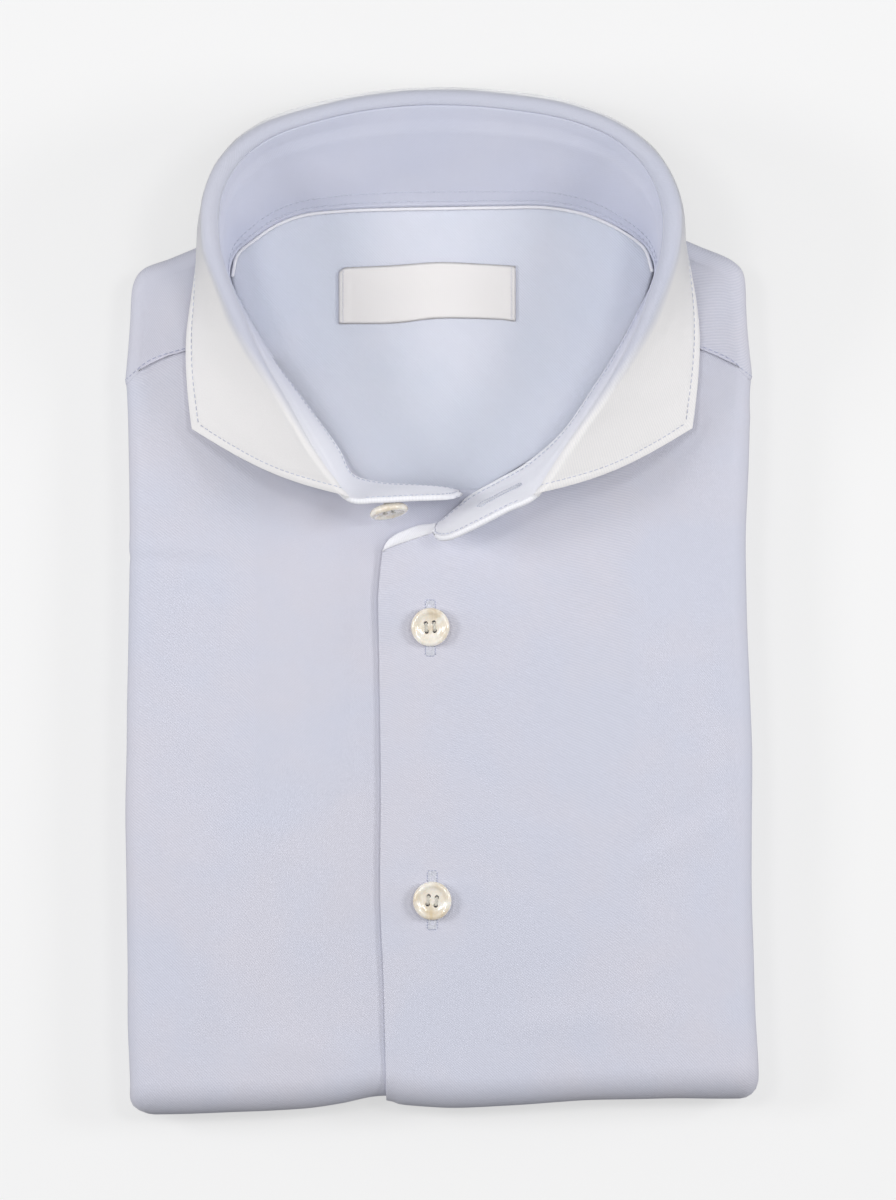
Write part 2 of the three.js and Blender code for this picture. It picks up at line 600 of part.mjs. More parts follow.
function makeButton(shank) {
  const { radius, thick, dish, dishDepth } = BUTTON;
  const profile = [
    [0, -shank],
    [THREAD_SHANK, -shank],
    [THREAD_SHANK, 0],
    ...BUTTON_EDGE.map(([inward, up]) => [radius - inward, up]),
    [radius - BUTTON_ROUND, thick - BUTTON_ROUND],
    [radius - BUTTON_LIP, thick],
    [dish, thick - dishDepth],
    [0, thick - dishDepth],
  ].map(([x, y]) => new THREE.Vector2(x, y));
  const turned = new THREE.LatheGeometry(profile, BUTTON_SIDES);
  turned.rotateX(Math.PI / 2);
  turned.deleteAttribute('normal');
  turned.deleteAttribute('uv');
  let button = solidFromGeometry(mergeVertices(turned, 1e-4));
  for (let k = 0; k < 4; k += 1) {
    const angle = Math.PI / 4 + (k * Math.PI) / 2;
    const drill = new THREE.CylinderGeometry(BUTTON.hole, BUTTON.hole, 10, 8);
    drill.rotateX(Math.PI / 2);
    drill.translate(BUTTON.holeRing * Math.cos(angle), BUTTON.holeRing * Math.sin(angle), 5);
    drill.deleteAttribute('normal');
    drill.deleteAttribute('uv');
    button = button.subtract(solidFromGeometry(mergeVertices(drill, 1e-4)));
  }
  return button;
}

function placeButton(name, place, face, spin, shank) {
  const mesh = makeMesh(name, makeButton(shank), COLOURS.pearl);
  const facing = new THREE.Vector3(...face).normalize();
  const turn = new THREE.Quaternion().setFromUnitVectors(new THREE.Vector3(0, 0, 1), facing);
  mesh.quaternion.copy(turn).multiply(
    new THREE.Quaternion().setFromAxisAngle(new THREE.Vector3(0, 0, 1), spin));
  mesh.position.copy(place);
  return mesh;
}

const shirt = new THREE.Group();
shirt.add(makeMesh('folded_layers', makeFoldedLayers(), COLOURS.inside));
shirt.add(makeMesh('front_left', makeFrontLeft(), COLOURS.twill));
shirt.add(makeMesh('front_right', makeFrontRight(), COLOURS.twill));
shirt.add(makeMesh('yoke', makeYoke(), COLOURS.twill));
shirt.add(makeMesh('yoke_inside', makeInsideYoke(), COLOURS.inside));
shirt.add(makeMesh('collar_stand', makeStand(), COLOURS.twill));
shirt.add(makeMesh('collar_fall', makeFall(), COLOURS.twill));
shirt.add(makeMesh('neck_piping', makePiping(), COLOURS.white));
shirt.add(makeMesh('label', makeLabel(), COLOURS.label));
for (const { name, x, y, face, spin, shank } of BUTTONS) {
  const place = new THREE.Vector3(x, y, bodyTop(x, y) + SEAM_GAP);
  shirt.add(placeButton(name, place, face, spin, shank));
}
const collarButtonPlace = new THREE.Vector3(COLLAR_BUTTON.x, COLLAR_BUTTON.y, COLLAR_BUTTON.z);
shirt.add(placeButton('button_collar', collarButtonPlace, COLLAR_BUTTON.face,
  COLLAR_BUTTON.spin, COLLAR_BUTTON.shank));
shirt.position.set(CENTRE_SHIFT_X, CENTRE_SHIFT_Y, 0);

export default shirt;
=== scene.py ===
"""A folded long sleeve dress shirt in pale twill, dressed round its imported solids.

Everything is measured in millimetres in the solids' own frame and turned to metres when a
mesh is made. +Y runs up the shirt to the collar, and the pile lies on Z = 0.
"""
from __future__ import annotations

import logging
import math
from dataclasses import dataclass, field
from enum import Enum
from typing import Callable, Sequence

import bmesh
import bpy
import numpy as np
from mathutils import Matrix, Vector, noise

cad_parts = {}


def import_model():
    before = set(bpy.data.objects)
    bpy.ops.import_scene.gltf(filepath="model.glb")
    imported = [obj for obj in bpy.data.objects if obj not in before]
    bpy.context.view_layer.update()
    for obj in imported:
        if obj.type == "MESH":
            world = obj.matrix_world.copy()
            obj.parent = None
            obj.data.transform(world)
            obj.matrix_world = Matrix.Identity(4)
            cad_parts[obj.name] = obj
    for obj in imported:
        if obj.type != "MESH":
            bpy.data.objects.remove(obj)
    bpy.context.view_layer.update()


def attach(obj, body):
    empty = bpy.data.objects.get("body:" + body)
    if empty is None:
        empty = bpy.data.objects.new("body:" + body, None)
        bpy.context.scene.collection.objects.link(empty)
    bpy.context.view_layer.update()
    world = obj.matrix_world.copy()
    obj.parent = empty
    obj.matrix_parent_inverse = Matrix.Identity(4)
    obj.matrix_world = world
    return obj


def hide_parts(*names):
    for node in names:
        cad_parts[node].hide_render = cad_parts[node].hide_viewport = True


log = logging.getLogger("shirt")

MM = 0.001
SHIFT_Y = 0.27                     # moves the finished shirt on to the solids' own centre
BORDER_SHARES = (0.12, 0.45, 1.0)  # where an edge's extra lines of points lie, of its width
WELD = 2e-6                        # points nearer than this are one, in metres
Table = Sequence[tuple[float, float]]


def smooth(value: float, low: float, high: float) -> float:
    """Returns a soft step from 0 at low to 1 at high."""
    part = min(max((value - low) / (high - low), 0.0), 1.0)
    return part * part * (3.0 - 2.0 * part)


def mix(a: float, b: float, part: float) -> float:
    """Returns the value that lies part of the way from a to b."""
    return a + (b - a) * part


def read(table: Table, at: float) -> float:
    """Reads a two-column table along a smooth curve through its rows.

    Args:
        table: Rows of (place, value), in rising order of place.
        at: The place to read.

    Returns:
        The value there, held flat past either end.
    """
    if at <= table[0][0]:
        return table[0][1]
    if at >= table[-1][0]:
        return table[-1][1]
    k = next(i for i in range(1, len(table)) if table[i][0] >= at)
    (x0, y0), (x1, y1) = table[k - 1], table[k]
    before = table[k - 2] if k > 1 else table[k - 1]
    after = table[k + 1] if k + 1 < len(table) else table[k]
    slope0 = (y1 - before[1]) / (x1 - before[0])
    slope1 = (after[1] - y0) / (after[0] - x0)
    span = x1 - x0
    t = (at - x0) / span
    h00 = (1 + 2 * t) * (1 - t) ** 2
    h10 = t * (1 - t) ** 2
    h01 = t * t * (3 - 2 * t)
    h11 = t * t * (t - 1)
    return h00 * y0 + h10 * span * slope0 + h01 * y1 + h11 * span * slope1


def spline(knots: np.ndarray, steps: int) -> np.ndarray:
    """Samples a centripetal Catmull-Rom curve evenly between its knots.

    Args:
        knots: An array of points, one row each.
        steps: How many samples each stretch gets.

    Returns:
        An array of (len(knots) - 1) * steps + 1 points.
    """
    padded = np.vstack([2 * knots[0] - knots[1], knots, 2 * knots[-1] - knots[-2]])
    rows = []
    for k in range(1, len(padded) - 2):
        p0, p1, p2, p3 = padded[k - 1 : k + 3]
        d0, d1, d2 = (max(float(np.linalg.norm(q - p)) ** 0.5, 1e-4)
                      for p, q in ((p0, p1), (p1, p2), (p2, p3)))
        leave = ((p1 - p0) / d0 - (p2 - p0) / (d0 + d1) + (p2 - p1) / d1) * d1
        arrive = ((p2 - p1) / d1 - (p3 - p1) / (d1 + d2) + (p3 - p2) / d2) * d1
        for s in range(steps):
            t = s / steps
            rows.append((2 * t ** 3 - 3 * t * t + 1) * p1 + (t ** 3 - 2 * t * t + t) * leave
                        + (3 * t * t - 2 * t ** 3) * p2 + (t ** 3 - t * t) * arrive)
    rows.append(knots[-1])
    return np.array(rows)


def lengths(line: np.ndarray) -> np.ndarray:
    """Returns how far along a polyline each of its points lies."""
    steps = np.linalg.norm(np.diff(line, axis=0), axis=1)
    return np.concatenate([[0.0], np.cumsum(steps)])


def sampled(table: np.ndarray, along: np.ndarray, wanted: np.ndarray) -> np.ndarray:
    """Reads each column of a table at the wanted distances along its line."""
    return np.column_stack([np.interp(wanted, along, column) for column in table.T])


def spaced(line: np.ndarray, pitch: float) -> np.ndarray:
    """Returns points along a polyline at an even pitch."""
    along = lengths(line)
    count = max(int(along[-1] / pitch), 1)
    return sampled(line, along, np.linspace(0.0, along[-1], count + 1))


def tube_faces(rings: int, sides: int, base: int = 0, inward: bool = False) -> list[tuple[int, ...]]:
    """Returns the faces of a tube made of rings of points, with both ends closed.

    Args:
        rings: How many rings it has.
        sides: How many points each ring has.
        base: The number of its first point.
        inward: Whether the rings run clockwise, so that the faces turn the other way.
    """
    faces: list[tuple[int, ...]] = []
    for r in range(rings - 1):
        for i in range(sides):
            a, b = base + r * sides + i, base + r * sides + (i + 1) % sides
            faces.append((a, a + sides, b + sides, b) if inward else (a, b, b + sides, a + sides))
    top = base + (rings - 1) * sides
    forward, backward = range(sides), range(sides - 1, -1, -1)
    faces.append(tuple(base + i for i in (forward if inward else backward)))
    faces.append(tuple(top + i for i in (backward if inward else forward)))
    return faces


@dataclass
class Grid:
    """A sheet of points, with the place of each in the flat cloth.

    Attributes:
        points: Rows by columns by 3, in millimetres.
        cloth: Rows by columns by 2, millimetres along and across the cloth.
        wall: The sheet's thickness, where it isn't its piece's own.
    """

    points: np.ndarray
    cloth: np.ndarray
    wall: float | None = None

    @classmethod
    def of(cls, points: Sequence, cloth: Sequence | None = None) -> "Grid":
        """Makes a whole grid, measuring the cloth along its rows and columns if need be."""
        spots = np.array(points, dtype=float)
        if cloth is None:
            down = np.linalg.norm(np.diff(spots, axis=0), axis=2)
            right = np.linalg.norm(np.diff(spots, axis=1), axis=2)
            v = np.vstack([np.zeros(spots.shape[1]), np.cumsum(down, axis=0)])
            u = np.hstack([np.zeros((spots.shape[0], 1)), np.cumsum(right, axis=1)])
            v = np.repeat(v.mean(axis=1)[:, None], spots.shape[1], axis=1)
            flat = np.stack([u, v], axis=2)
        else:
            flat = np.array(cloth, dtype=float)
        return cls(spots, flat)

    def normals(self) -> np.ndarray:
        """Returns the unit normal at each point, down the rows crossed with the columns."""
        down = np.gradient(self.points, axis=0)
        across = np.gradient(self.points, axis=1)
        cross = np.cross(down, across)
        size = np.linalg.norm(cross, axis=2, keepdims=True)
        return cross / np.maximum(size, 1e-9)

    def moved(self, depth: np.ndarray | float) -> "Grid":
        """Returns the grid moved along its normals by a distance at each point."""
        step = np.broadcast_to(np.asarray(depth, dtype=float), self.points.shape[:2])
        return Grid(self.points + self.normals() * step[..., None], self.cloth)


def new_object(name: str, mesh: bpy.types.Mesh) -> bpy.types.Object:
    """Links a mesh into the scene as an object at the origin."""
    piece = bpy.data.objects.new(name, mesh)
    bpy.context.scene.collection.objects.link(piece)
    return piece


def smooth_object(name: str, spots: Sequence, faces: Sequence) -> bpy.types.Object:
    """Makes a smooth object from points in millimetres."""
    mesh = bpy.data.meshes.new(name)
    mesh.from_pydata((np.array(spots, dtype=float) * MM).tolist(), [], list(faces))
    mesh.shade_smooth()
    return new_object(name, mesh)


def only(piece: bpy.types.Object) -> None:
    """Deselects everything, then selects a piece and makes it the active one."""
    if bpy.context.object and bpy.context.object.mode != "OBJECT":
        bpy.ops.object.mode_set(mode="OBJECT")
    bpy.ops.object.select_all(action="DESELECT")
    piece.select_set(True)
    bpy.context.view_layer.objects.active = piece


def shell(name: str, grids: Sequence[Grid], wall: float) -> bpy.types.Object:
    """Makes a closed sheet of cloth, with rounded edges, from one or more grids.

    Args:
        name: The object's name.
        grids: The outer faces, whose normals point out of the cloth's good side.
        wall: The cloth's thickness.

    Returns:
        The new object, with a UV map of the flat cloth in metres.
    """
    spots: list[np.ndarray] = []
    faces: list[tuple[int, ...]] = []
    flat: list[np.ndarray] = []
    base = 0
    for grid in grids:
        rows, columns = grid.points.shape[:2]
        normal = grid.normals()
        count = rows * columns
        taper = np.zeros((rows, columns))
        taper[1:-1, 1:-1] = 1.0
        thick = wall if grid.wall is None else grid.wall
        half = 0.5 * thick * (1 - taper)[..., None]
        outer = grid.points - normal * half
        inner = grid.points - normal * (thick - half)
        spots += [outer.reshape(-1, 3), inner.reshape(-1, 3)]
        flat += [grid.cloth.reshape(-1, 2)] * 2
        for j in range(rows - 1):
            for i in range(columns - 1):
                a = base + j * columns + i
                b, c, d = a + 1, a + columns + 1, a + columns
                faces.append((a, d, c, b))
                faces.append((a + count, b + count, c + count, d + count))
        base += 2 * count
    mesh = bpy.data.meshes.new(name)
    mesh.from_pydata((np.vstack(spots) * MM).tolist(), [], faces)
    layer = mesh.uv_layers.new(name="cloth")
    places = np.vstack(flat) * MM
    corners = np.empty(len(mesh.loops), dtype=np.int32)
    mesh.loops.foreach_get("vertex_index", corners)
    layer.data.foreach_set("uv", places[corners].astype(np.float32).ravel())
    weld = bmesh.new()
    weld.from_mesh(mesh)
    bmesh.ops.remove_doubles(weld, verts=weld.verts, dist=WELD)
    loose = [v for v in weld.verts if not v.link_faces]
    bmesh.ops.delete(weld, geom=loose, context="VERTS")
    weld.to_mesh(mesh)
    weld.free()
    mesh.shade_smooth()
    return new_object(name, mesh)


def with_borders(grid: Grid, width: float) -> Grid:
    """Adds lines of points close to each edge of a grid, so that the edge can round off."""
    both = np.concatenate([grid.points, grid.cloth], axis=2)
    for axis in (0, 0, 1, 1):
        edge, inside = np.take(both, [0], axis), np.take(both, [1], axis)
        gap = float(np.mean(np.linalg.norm((inside - edge)[..., :3], axis=2)))
        lines = [edge + (inside - edge) * min(share * width / max(gap, 1e-6), 0.85 * share)
                 for share in BORDER_SHARES]
        both = np.flip(np.concatenate([edge, *lines, np.delete(both, 0, axis)], axis), axis)
    return Grid(both[..., :3], both[..., 3:])


# Outline of the pack seen from above, and its folds
LEFT_EDGE: Table = (
    (-161, -94.5), (-158, -96.9), (-150, -97.0), (-129, -97.8), (-88, -98.1), (-45, -98.3),
    (-2, -97.4), (22, -97.4), (50, -97.7), (66, -98.1), (74, -98.9), (88, -97.4), (101, -95.9),
    (106, -94.0),
)
RIGHT_EDGE: Table = (
    (-161, 96.5), (-158, 98.2), (-150, 98.6), (-129, 97.8), (-88, 97.1), (-45, 96.7), (-2, 95.2),
    (22, 94.8), (50, 95.9), (66, 96.3), (74, 97.0), (88, 95.4), (101, 94.4), (106, 93.4),
)
BOTTOM_FOLD: Table = (
    (-97, -160.8), (-66, -160.0), (-31, -157.9), (-18, -156.4), (-12, -157.6), (6, -158.6),
    (35, -157.3), (64, -156.0), (98, -155.2),
)
SEAM_LEFT: Table = ((-110, 64), (-98.2, 67.2), (-91, 73.1), (-79.2, 77.5), (-58, 84), (-40, 88))
SEAM_RIGHT: Table = ((40, 90), (59, 86.5), (80.1, 78.4), (89.3, 74.1), (96.1, 68.5), (110, 64))
NECK_FRONT_LEFT: Table = (
    (-66.9, 104.5), (-64, 96), (-59.5, 87), (-52, 75), (-42, 61.5), (-31.5, 47), (-27, 39.5),
    (-19.6, 36.6), (-9.5, 36), (1, 35), (7, 34.4), (12.6, 34.2),
)
NECK_FRONT_RIGHT: Table = (
    (-18.4, 15.0), (-17.3, 18), (-15, 20.2), (-11, 22.2), (-6.5, 23.7), (-3.5, 24.0), (-1.5, 24.4),
    (2.5, 27), (9, 32.5), (17, 37), (26.6, 42.5), (38, 52.5), (47, 65.5), (54, 76.5),
    (59.5, 86.5), (64.2, 97), (67, 104.5),
)
PLACKET_EDGE: Table = (
    (-175, -17.3), (-150, -17.3), (-120, -17.9), (-92, -19.0), (-58, -18.8), (-18, -19.3),
    (0, -19.6), (9, -19.0), (15, -18.3),
)
UNDERLAP_X = 12.6

# Yoke: a place on the neckline, and the place on the pack's outline that it runs out to
YOKE_FAN = (
    ((-58.9, 85.3), (-98.2, 67.2)), ((-62.6, 93.0), (-98.4, 80.0)), ((-65.8, 100.5), (-97.0, 91.0)),
    ((-66.9, 104.5), (-95.9, 99.0)), ((-66.3, 106.0), (-93.2, 103.1)), ((-64.6, 108.4), (-84.0, 106.8)),
    ((-60.9, 111.0), (-73.0, 111.6)), ((-56.2, 114.6), (-63.0, 117.4)), ((-48.4, 118.8), (-51.0, 123.0)),
    ((-42.3, 120.7), (-43.0, 126.0)), ((-31.0, 121.9), (-31.0, 128.6)), ((-14.7, 122.6), (-14.7, 130.2)),
    ((0.0, 122.9), (0.0, 130.6)), ((24.4, 123.2), (24.4, 130.3)), ((36.0, 122.8), (36.5, 128.6)),
    ((43.5, 121.3), (44.5, 126.6)), ((49.6, 119.1), (53.0, 123.6)), ((56.8, 115.5), (62.5, 119.2)),
    ((61.2, 112.4), (70.0, 115.0)), ((64.3, 109.5), (80.0, 110.6)), ((66.0, 106.9), (90.6, 106.0)),
    ((67.0, 104.5), (94.0, 102.4)), ((66.0, 101.2), (95.2, 92.0)), ((62.6, 93.5), (96.8, 80.0)),
    ((58.9, 86.4), (96.1, 68.5)),
)

# Collar, one row per station from the button end round the back to the buttonhole end:
# the neckline's x and y, the seam at the stand's top, and the leaf's outer edge.
TAB_LEFT = (
    (5.6, 34.3, 5.2, 33.8, 31.0), (3.6, 34.9, 3.6, 32.9, 40.0), (1.0, 35.4, 0.4, 32.4, 44.6),
    (-9.5, 36.2, -9.5, 32.0, 46.8), (-19.6, 37.0, -19.6, 31.4, 47.4),
)
COLLAR = (
    (-27.5, 39.5, -27.9, 31.7, 47.0, -77.3, 53.2, 27.4),
    (-31.5, 47.0, -37.6, 44.8, 49.5, -78.3, 60.6, 26.0),
    (-42.0, 61.5, -46.1, 60.0, 51.5, -79.2, 72.1, 25.4),
    (-52.0, 75.0, -54.0, 73.9, 53.5, -79.1, 82.3, 25.2),
    (-59.5, 87.0, -60.5, 88.4, 55.0, -77.7, 93.5, 24.6),
    (-66.0, 101.0, -66.6, 105.5, 55.8, -75.8, 106.6, 24.2),
    (-64.2, 108.0, -67.4, 117.3, 55.5, -74.6, 119.5, 17.0),
    (-59.0, 112.5, -65.6, 126.2, 54.0, -72.0, 130.5, 12.0),
    (-52.5, 117.0, -60.6, 134.2, 52.2, -65.6, 141.0, 9.0),
    (-44.0, 120.3, -51.6, 141.2, 50.0, -55.8, 149.0, 7.5),
    (-31.0, 121.9, -36.5, 146.6, 48.4, -39.0, 155.2, 6.5),
    (-14.7, 122.6, -18.5, 150.3, 47.4, -19.0, 159.0, 5.8),
    (1.0, 122.9, 1.0, 151.4, 47.0, 1.0, 160.0, 5.4),
    (18.5, 123.1, 22.0, 149.8, 47.3, 23.0, 158.6, 5.8),
    (33.0, 123.0, 39.0, 146.6, 48.3, 41.4, 155.4, 6.5),
    (45.0, 120.8, 51.6, 141.4, 50.0, 56.0, 149.2, 7.5),
    (53.0, 117.5, 60.3, 134.0, 52.2, 66.0, 141.0, 9.0),
    (59.5, 113.8, 65.0, 125.9, 54.0, 71.4, 130.2, 12.0),
    (64.3, 109.5, 67.2, 116.8, 55.3, 74.4, 119.0, 17.0),
    (66.6, 102.5, 66.3, 104.5, 55.4, 76.6, 106.8, 24.2),
    (60.6, 88.5, 60.6, 86.5, 54.0, 79.2, 92.8, 24.4),
    (54.0, 76.5, 54.0, 72.5, 52.0, 80.2, 81.5, 25.0),
    (47.0, 65.5, 46.4, 60.0, 50.4, 79.8, 70.5, 25.4),
    (38.0, 52.5, 37.2, 46.4, 48.6, 78.8, 60.4, 26.0),
    (26.6, 42.5, 28.2, 32.4, 47.0, 77.8, 53.4, 27.4),
)
TAB_RIGHT = (
    (17.0, 37.0, 20.0, 28.4, 47.0), (9.0, 32.5, 9.0, 22.8, 46.4), (3.4, 28.0, 1.4, 19.7, 43.6),
    (0.2, 25.2, -2.0, 20.5, 38.0), (-1.2, 24.1, -1.9, 22.4, 31.0),
)


@dataclass(frozen=True)
class Crease:
    """One soft ridge or hollow across the cloth, from a to b, widest in its middle."""

    a: tuple[float, float]
    b: tuple[float, float]
    width: float
    height: float

    def at(self, x: float, y: float) -> float:
        """Returns how far the crease lifts the cloth at a place."""
        dx, dy = self.b[0] - self.a[0], self.b[1] - self.a[1]
        length = math.hypot(dx, dy)
        along = ((x - self.a[0]) * dx + (y - self.a[1]) * dy) / length
        away = ((x - self.a[0]) * dy - (y - self.a[1]) * dx) / length
        past, within = -length * 0.2, length * 0.25
        if not past < along < length * 1.2 or abs(away) > 3 * self.width:
            return 0.0
        ends = smooth(along, past, within) * smooth(length - along, past, within)
        return self.height * ends * math.exp(-((away / self.width) ** 2))


# The shirt's main creases, as the photograph shows them, and their like on the hidden side
CREASES = (
    Crease((-98, 13.4), (-66, 11.6), 1.5, -0.34), Crease((-98, 16.6), (-68, 15.2), 1.9, 0.26),
    Crease((78, 62), (96, 71), 2.6, 0.42), Crease((70, 57), (93, 64), 3.2, -0.3),
    Crease((84, 52), (96, 58), 2.6, 0.3), Crease((60, -84), (86, -67), 4.0, 0.34),
    Crease((57, -79), (80, -63), 3.2, -0.24), Crease((-88, -66), (-71, -134), 4.2, 0.46),
    Crease((-70, -92), (-68, -146), 4.2, -0.26), Crease((20, -132), (74, -128), 5.0, 0.24),
    Crease((-60, -138), (-24, -141), 5.0, 0.22), Crease((30, 20), (62, 4), 5.5, 0.26),
    Crease((-50, 30), (-82, 46), 5.0, 0.22), Crease((-86, -40), (-58, -52), 5.5, 0.2),
    Crease((-17, -140), (-16, -158), 2.0, -0.3), Crease((84, -20), (94, -96), 3.4, -0.22),
)


BROAD_RELIEF, FINE_RELIEF, CREASE_GAIN = 0.62, 0.2, 1.5


def relief(x: float, y: float) -> float:
    """Returns how far the laid cloth stands above or below its smooth form."""
    broad = noise.noise(Vector((x * 0.021, y * 0.017, 3.1)))
    fine = noise.noise(Vector((x * 0.055 + 7.0, y * 0.045, 8.4)))
    creases = sum(crease.at(x, y) for crease in CREASES)
    return BROAD_RELIEF * broad + FINE_RELIEF * fine + CREASE_GAIN * creases


def ruffles(keys: Sequence[float], columns: int, *layers: tuple[float, ...]) -> np.ndarray:
    """Sums layers of noise over rows and columns, each a height, two paces and a seed."""
    return np.array([[sum(high * noise.noise(Vector((key * down, c * across, seed)))
                          for high, down, across, seed in layers) for c in range(columns)]
                     for key in keys])


@dataclass(frozen=True)
class Pack:
    """The folded body: two legs, one on the other, with a roll down each side.

    Attributes:
        height: The whole pile's height over the flat part.
        slit: Free space between the two legs.
        wall: Thickness of a body panel.
        hem_y: Where the folded-up tail ends under the shoulders.
        low_inset: How much narrower the lower leg is on each side.
        tuck: How far the cloth goes in between the legs.
        length: A front's mean length on top.
    """

    height: float = 22.0
    slit: float = 0.8
    wall: float = 1.1
    hem_y: float = 90.0
    low_inset: float = 2.0
    tuck: float = 8.0
    length: float = 215.0

    @property
    def roll(self) -> float:
        """Radius of the side folds."""
        return (self.height - self.slit) / 4

    @property
    def mid(self) -> float:
        """Height of the middle of the fold."""
        return self.height / 2

    def lifted(self, x: float, y: float, z: float) -> float:
        """Raises a height in the upper leg where the pile is thickest, under the collar."""
        low = self.mid + self.slit / 2
        if z <= low:
            return z
        along = 0.2 * smooth(y, -150, 20) - 0.17 * smooth(y, 60, 125)
        across = 1 - 0.75 * smooth(abs(x), 30, 96)
        return low + (z - low) * (1 + along * across)

    def top(self, x: float, y: float, depth: float = 0.0) -> float:
        """Returns the height of the pile's top at a place."""
        return self.lifted(x, y, self.height - depth)

    @staticmethod
    def underlap(x: float) -> float:
        """Returns how far the left front is pressed down under the right one."""
        return 1.5 * smooth(x, -44, -21) * (1 - smooth(x, 14, 40))

    def stations(self, step: float) -> list[tuple[str, float]]:
        """Lists the rows of a front, from its upper edge down, round and up to the tail."""
        long, round_steps, low_steps, hem_steps = round(self.length / step), 22, 60, 12
        rows = [("top", k / long) for k in range(long)]
        rows += [("fold", 180 * k / round_steps) for k in range(round_steps)]
        rows += [("low", 1 - k / low_steps) for k in range(low_steps)]
        rows += [("hem", 180 * k / hem_steps) for k in range(hem_steps + 1)]
        return rows + [("hem", 207.0), ("hem", 240.0)]

    def spot(self, row: tuple[str, float], start: float, flat_x: float, side: int, roll: float,
             inward_x: float, depth: float) -> tuple[float, float, float]:
        """Returns one point of the folded surface.

        Args:
            row: The kind of place along the fold, and how far along it is.
            start: The y of the panel's upper edge.
            flat_x: The x on the flat part.
            side: -1 for the left roll, 1 for the right, 0 for the flat part.
            roll: How far round the side roll the point is, in radians.
            inward_x: How far the point is tucked in past the roll.
            depth: How far inside the outer surface it lies.

        Returns:
            The point's x, y and z.
        """
        kind, value = row
        reach = self.roll - depth
        x = flat_x + side * reach * math.sin(roll) - side * inward_x
        up = self.roll - reach * math.cos(roll)
        bottom = read(BOTTOM_FOLD, min(max(x, -97), 98)) + self.mid
        if kind == "top":
            y = mix(start, bottom, value)
            return x, y, self.lifted(x, y, self.height - up)
        if kind == "fold":
            angle = math.radians(value)
            radius = self.mid - up
            z = self.mid + radius * math.cos(angle)
            y = bottom - radius * math.sin(angle)
            return x, y, self.lifted(x, y, z)
        end = self.hem_y - self.roll
        if kind == "low":
            x -= side * self.low_inset * smooth(1 - value, 0, 0.3)
            return x, mix(end, bottom, value), up
        turn = math.radians(value)
        bent, heading = math.hypot(roll, turn), math.atan2(turn, roll)
        out = reach * (math.sin(bent) if bent < math.pi else math.pi - bent)
        x = flat_x + side * (out * math.cos(heading) - inward_x - self.low_inset)
        return x, end + out * math.sin(heading), self.roll - reach * math.cos(min(bent, math.pi))


PACK = Pack()


@dataclass
class Column:
    """One line of cloth down a front: where it lies across, and how far round the roll."""

    share: float
    side: int = 0
    roll: float = 0.0
    inward: float = 0.0


def columns_for(step: float, width: float, roll_left: bool, roll_right: bool,
                tuck: float) -> list[Column]:
    """Lists the columns of a front from left to right, with its rolls and tucks."""
    steps, round_steps = round(width / step), 9
    flat = [Column(k / steps) for k in range(steps + 1)]
    turned = [math.pi * k / round_steps for k in range(1, round_steps + 1)]
    tucks = [tuck * k / 3 for k in range(1, 4)]
    left = [Column(0.0, -1, a) for a in turned] + [Column(0.0, -1, math.pi, t) for t in tucks]
    right = [Column(1.0, 1, a) for a in turned] + [Column(1.0, 1, math.pi, t) for t in tucks]
    return (left[::-1] if roll_left else []) + flat + (right if roll_right else [])


# The front's buttons, and the y of each buttonhole's two ends
FRONT_BUTTONS = ((-3.4, -8.2), (-2.8, -93.1))
FRONT_SLITS = ((-0.1, -16.9), (-84.2, -101.9))


def quiet(x: float, y: float) -> float:
    """Damps the creases round the buttons, where the layers are sewn flat."""
    nearest = min(math.hypot(x + 3.1, max(abs(y - middle) - 9, 0)) for _, middle in FRONT_BUTTONS)
    return smooth(nearest, 4, 16)


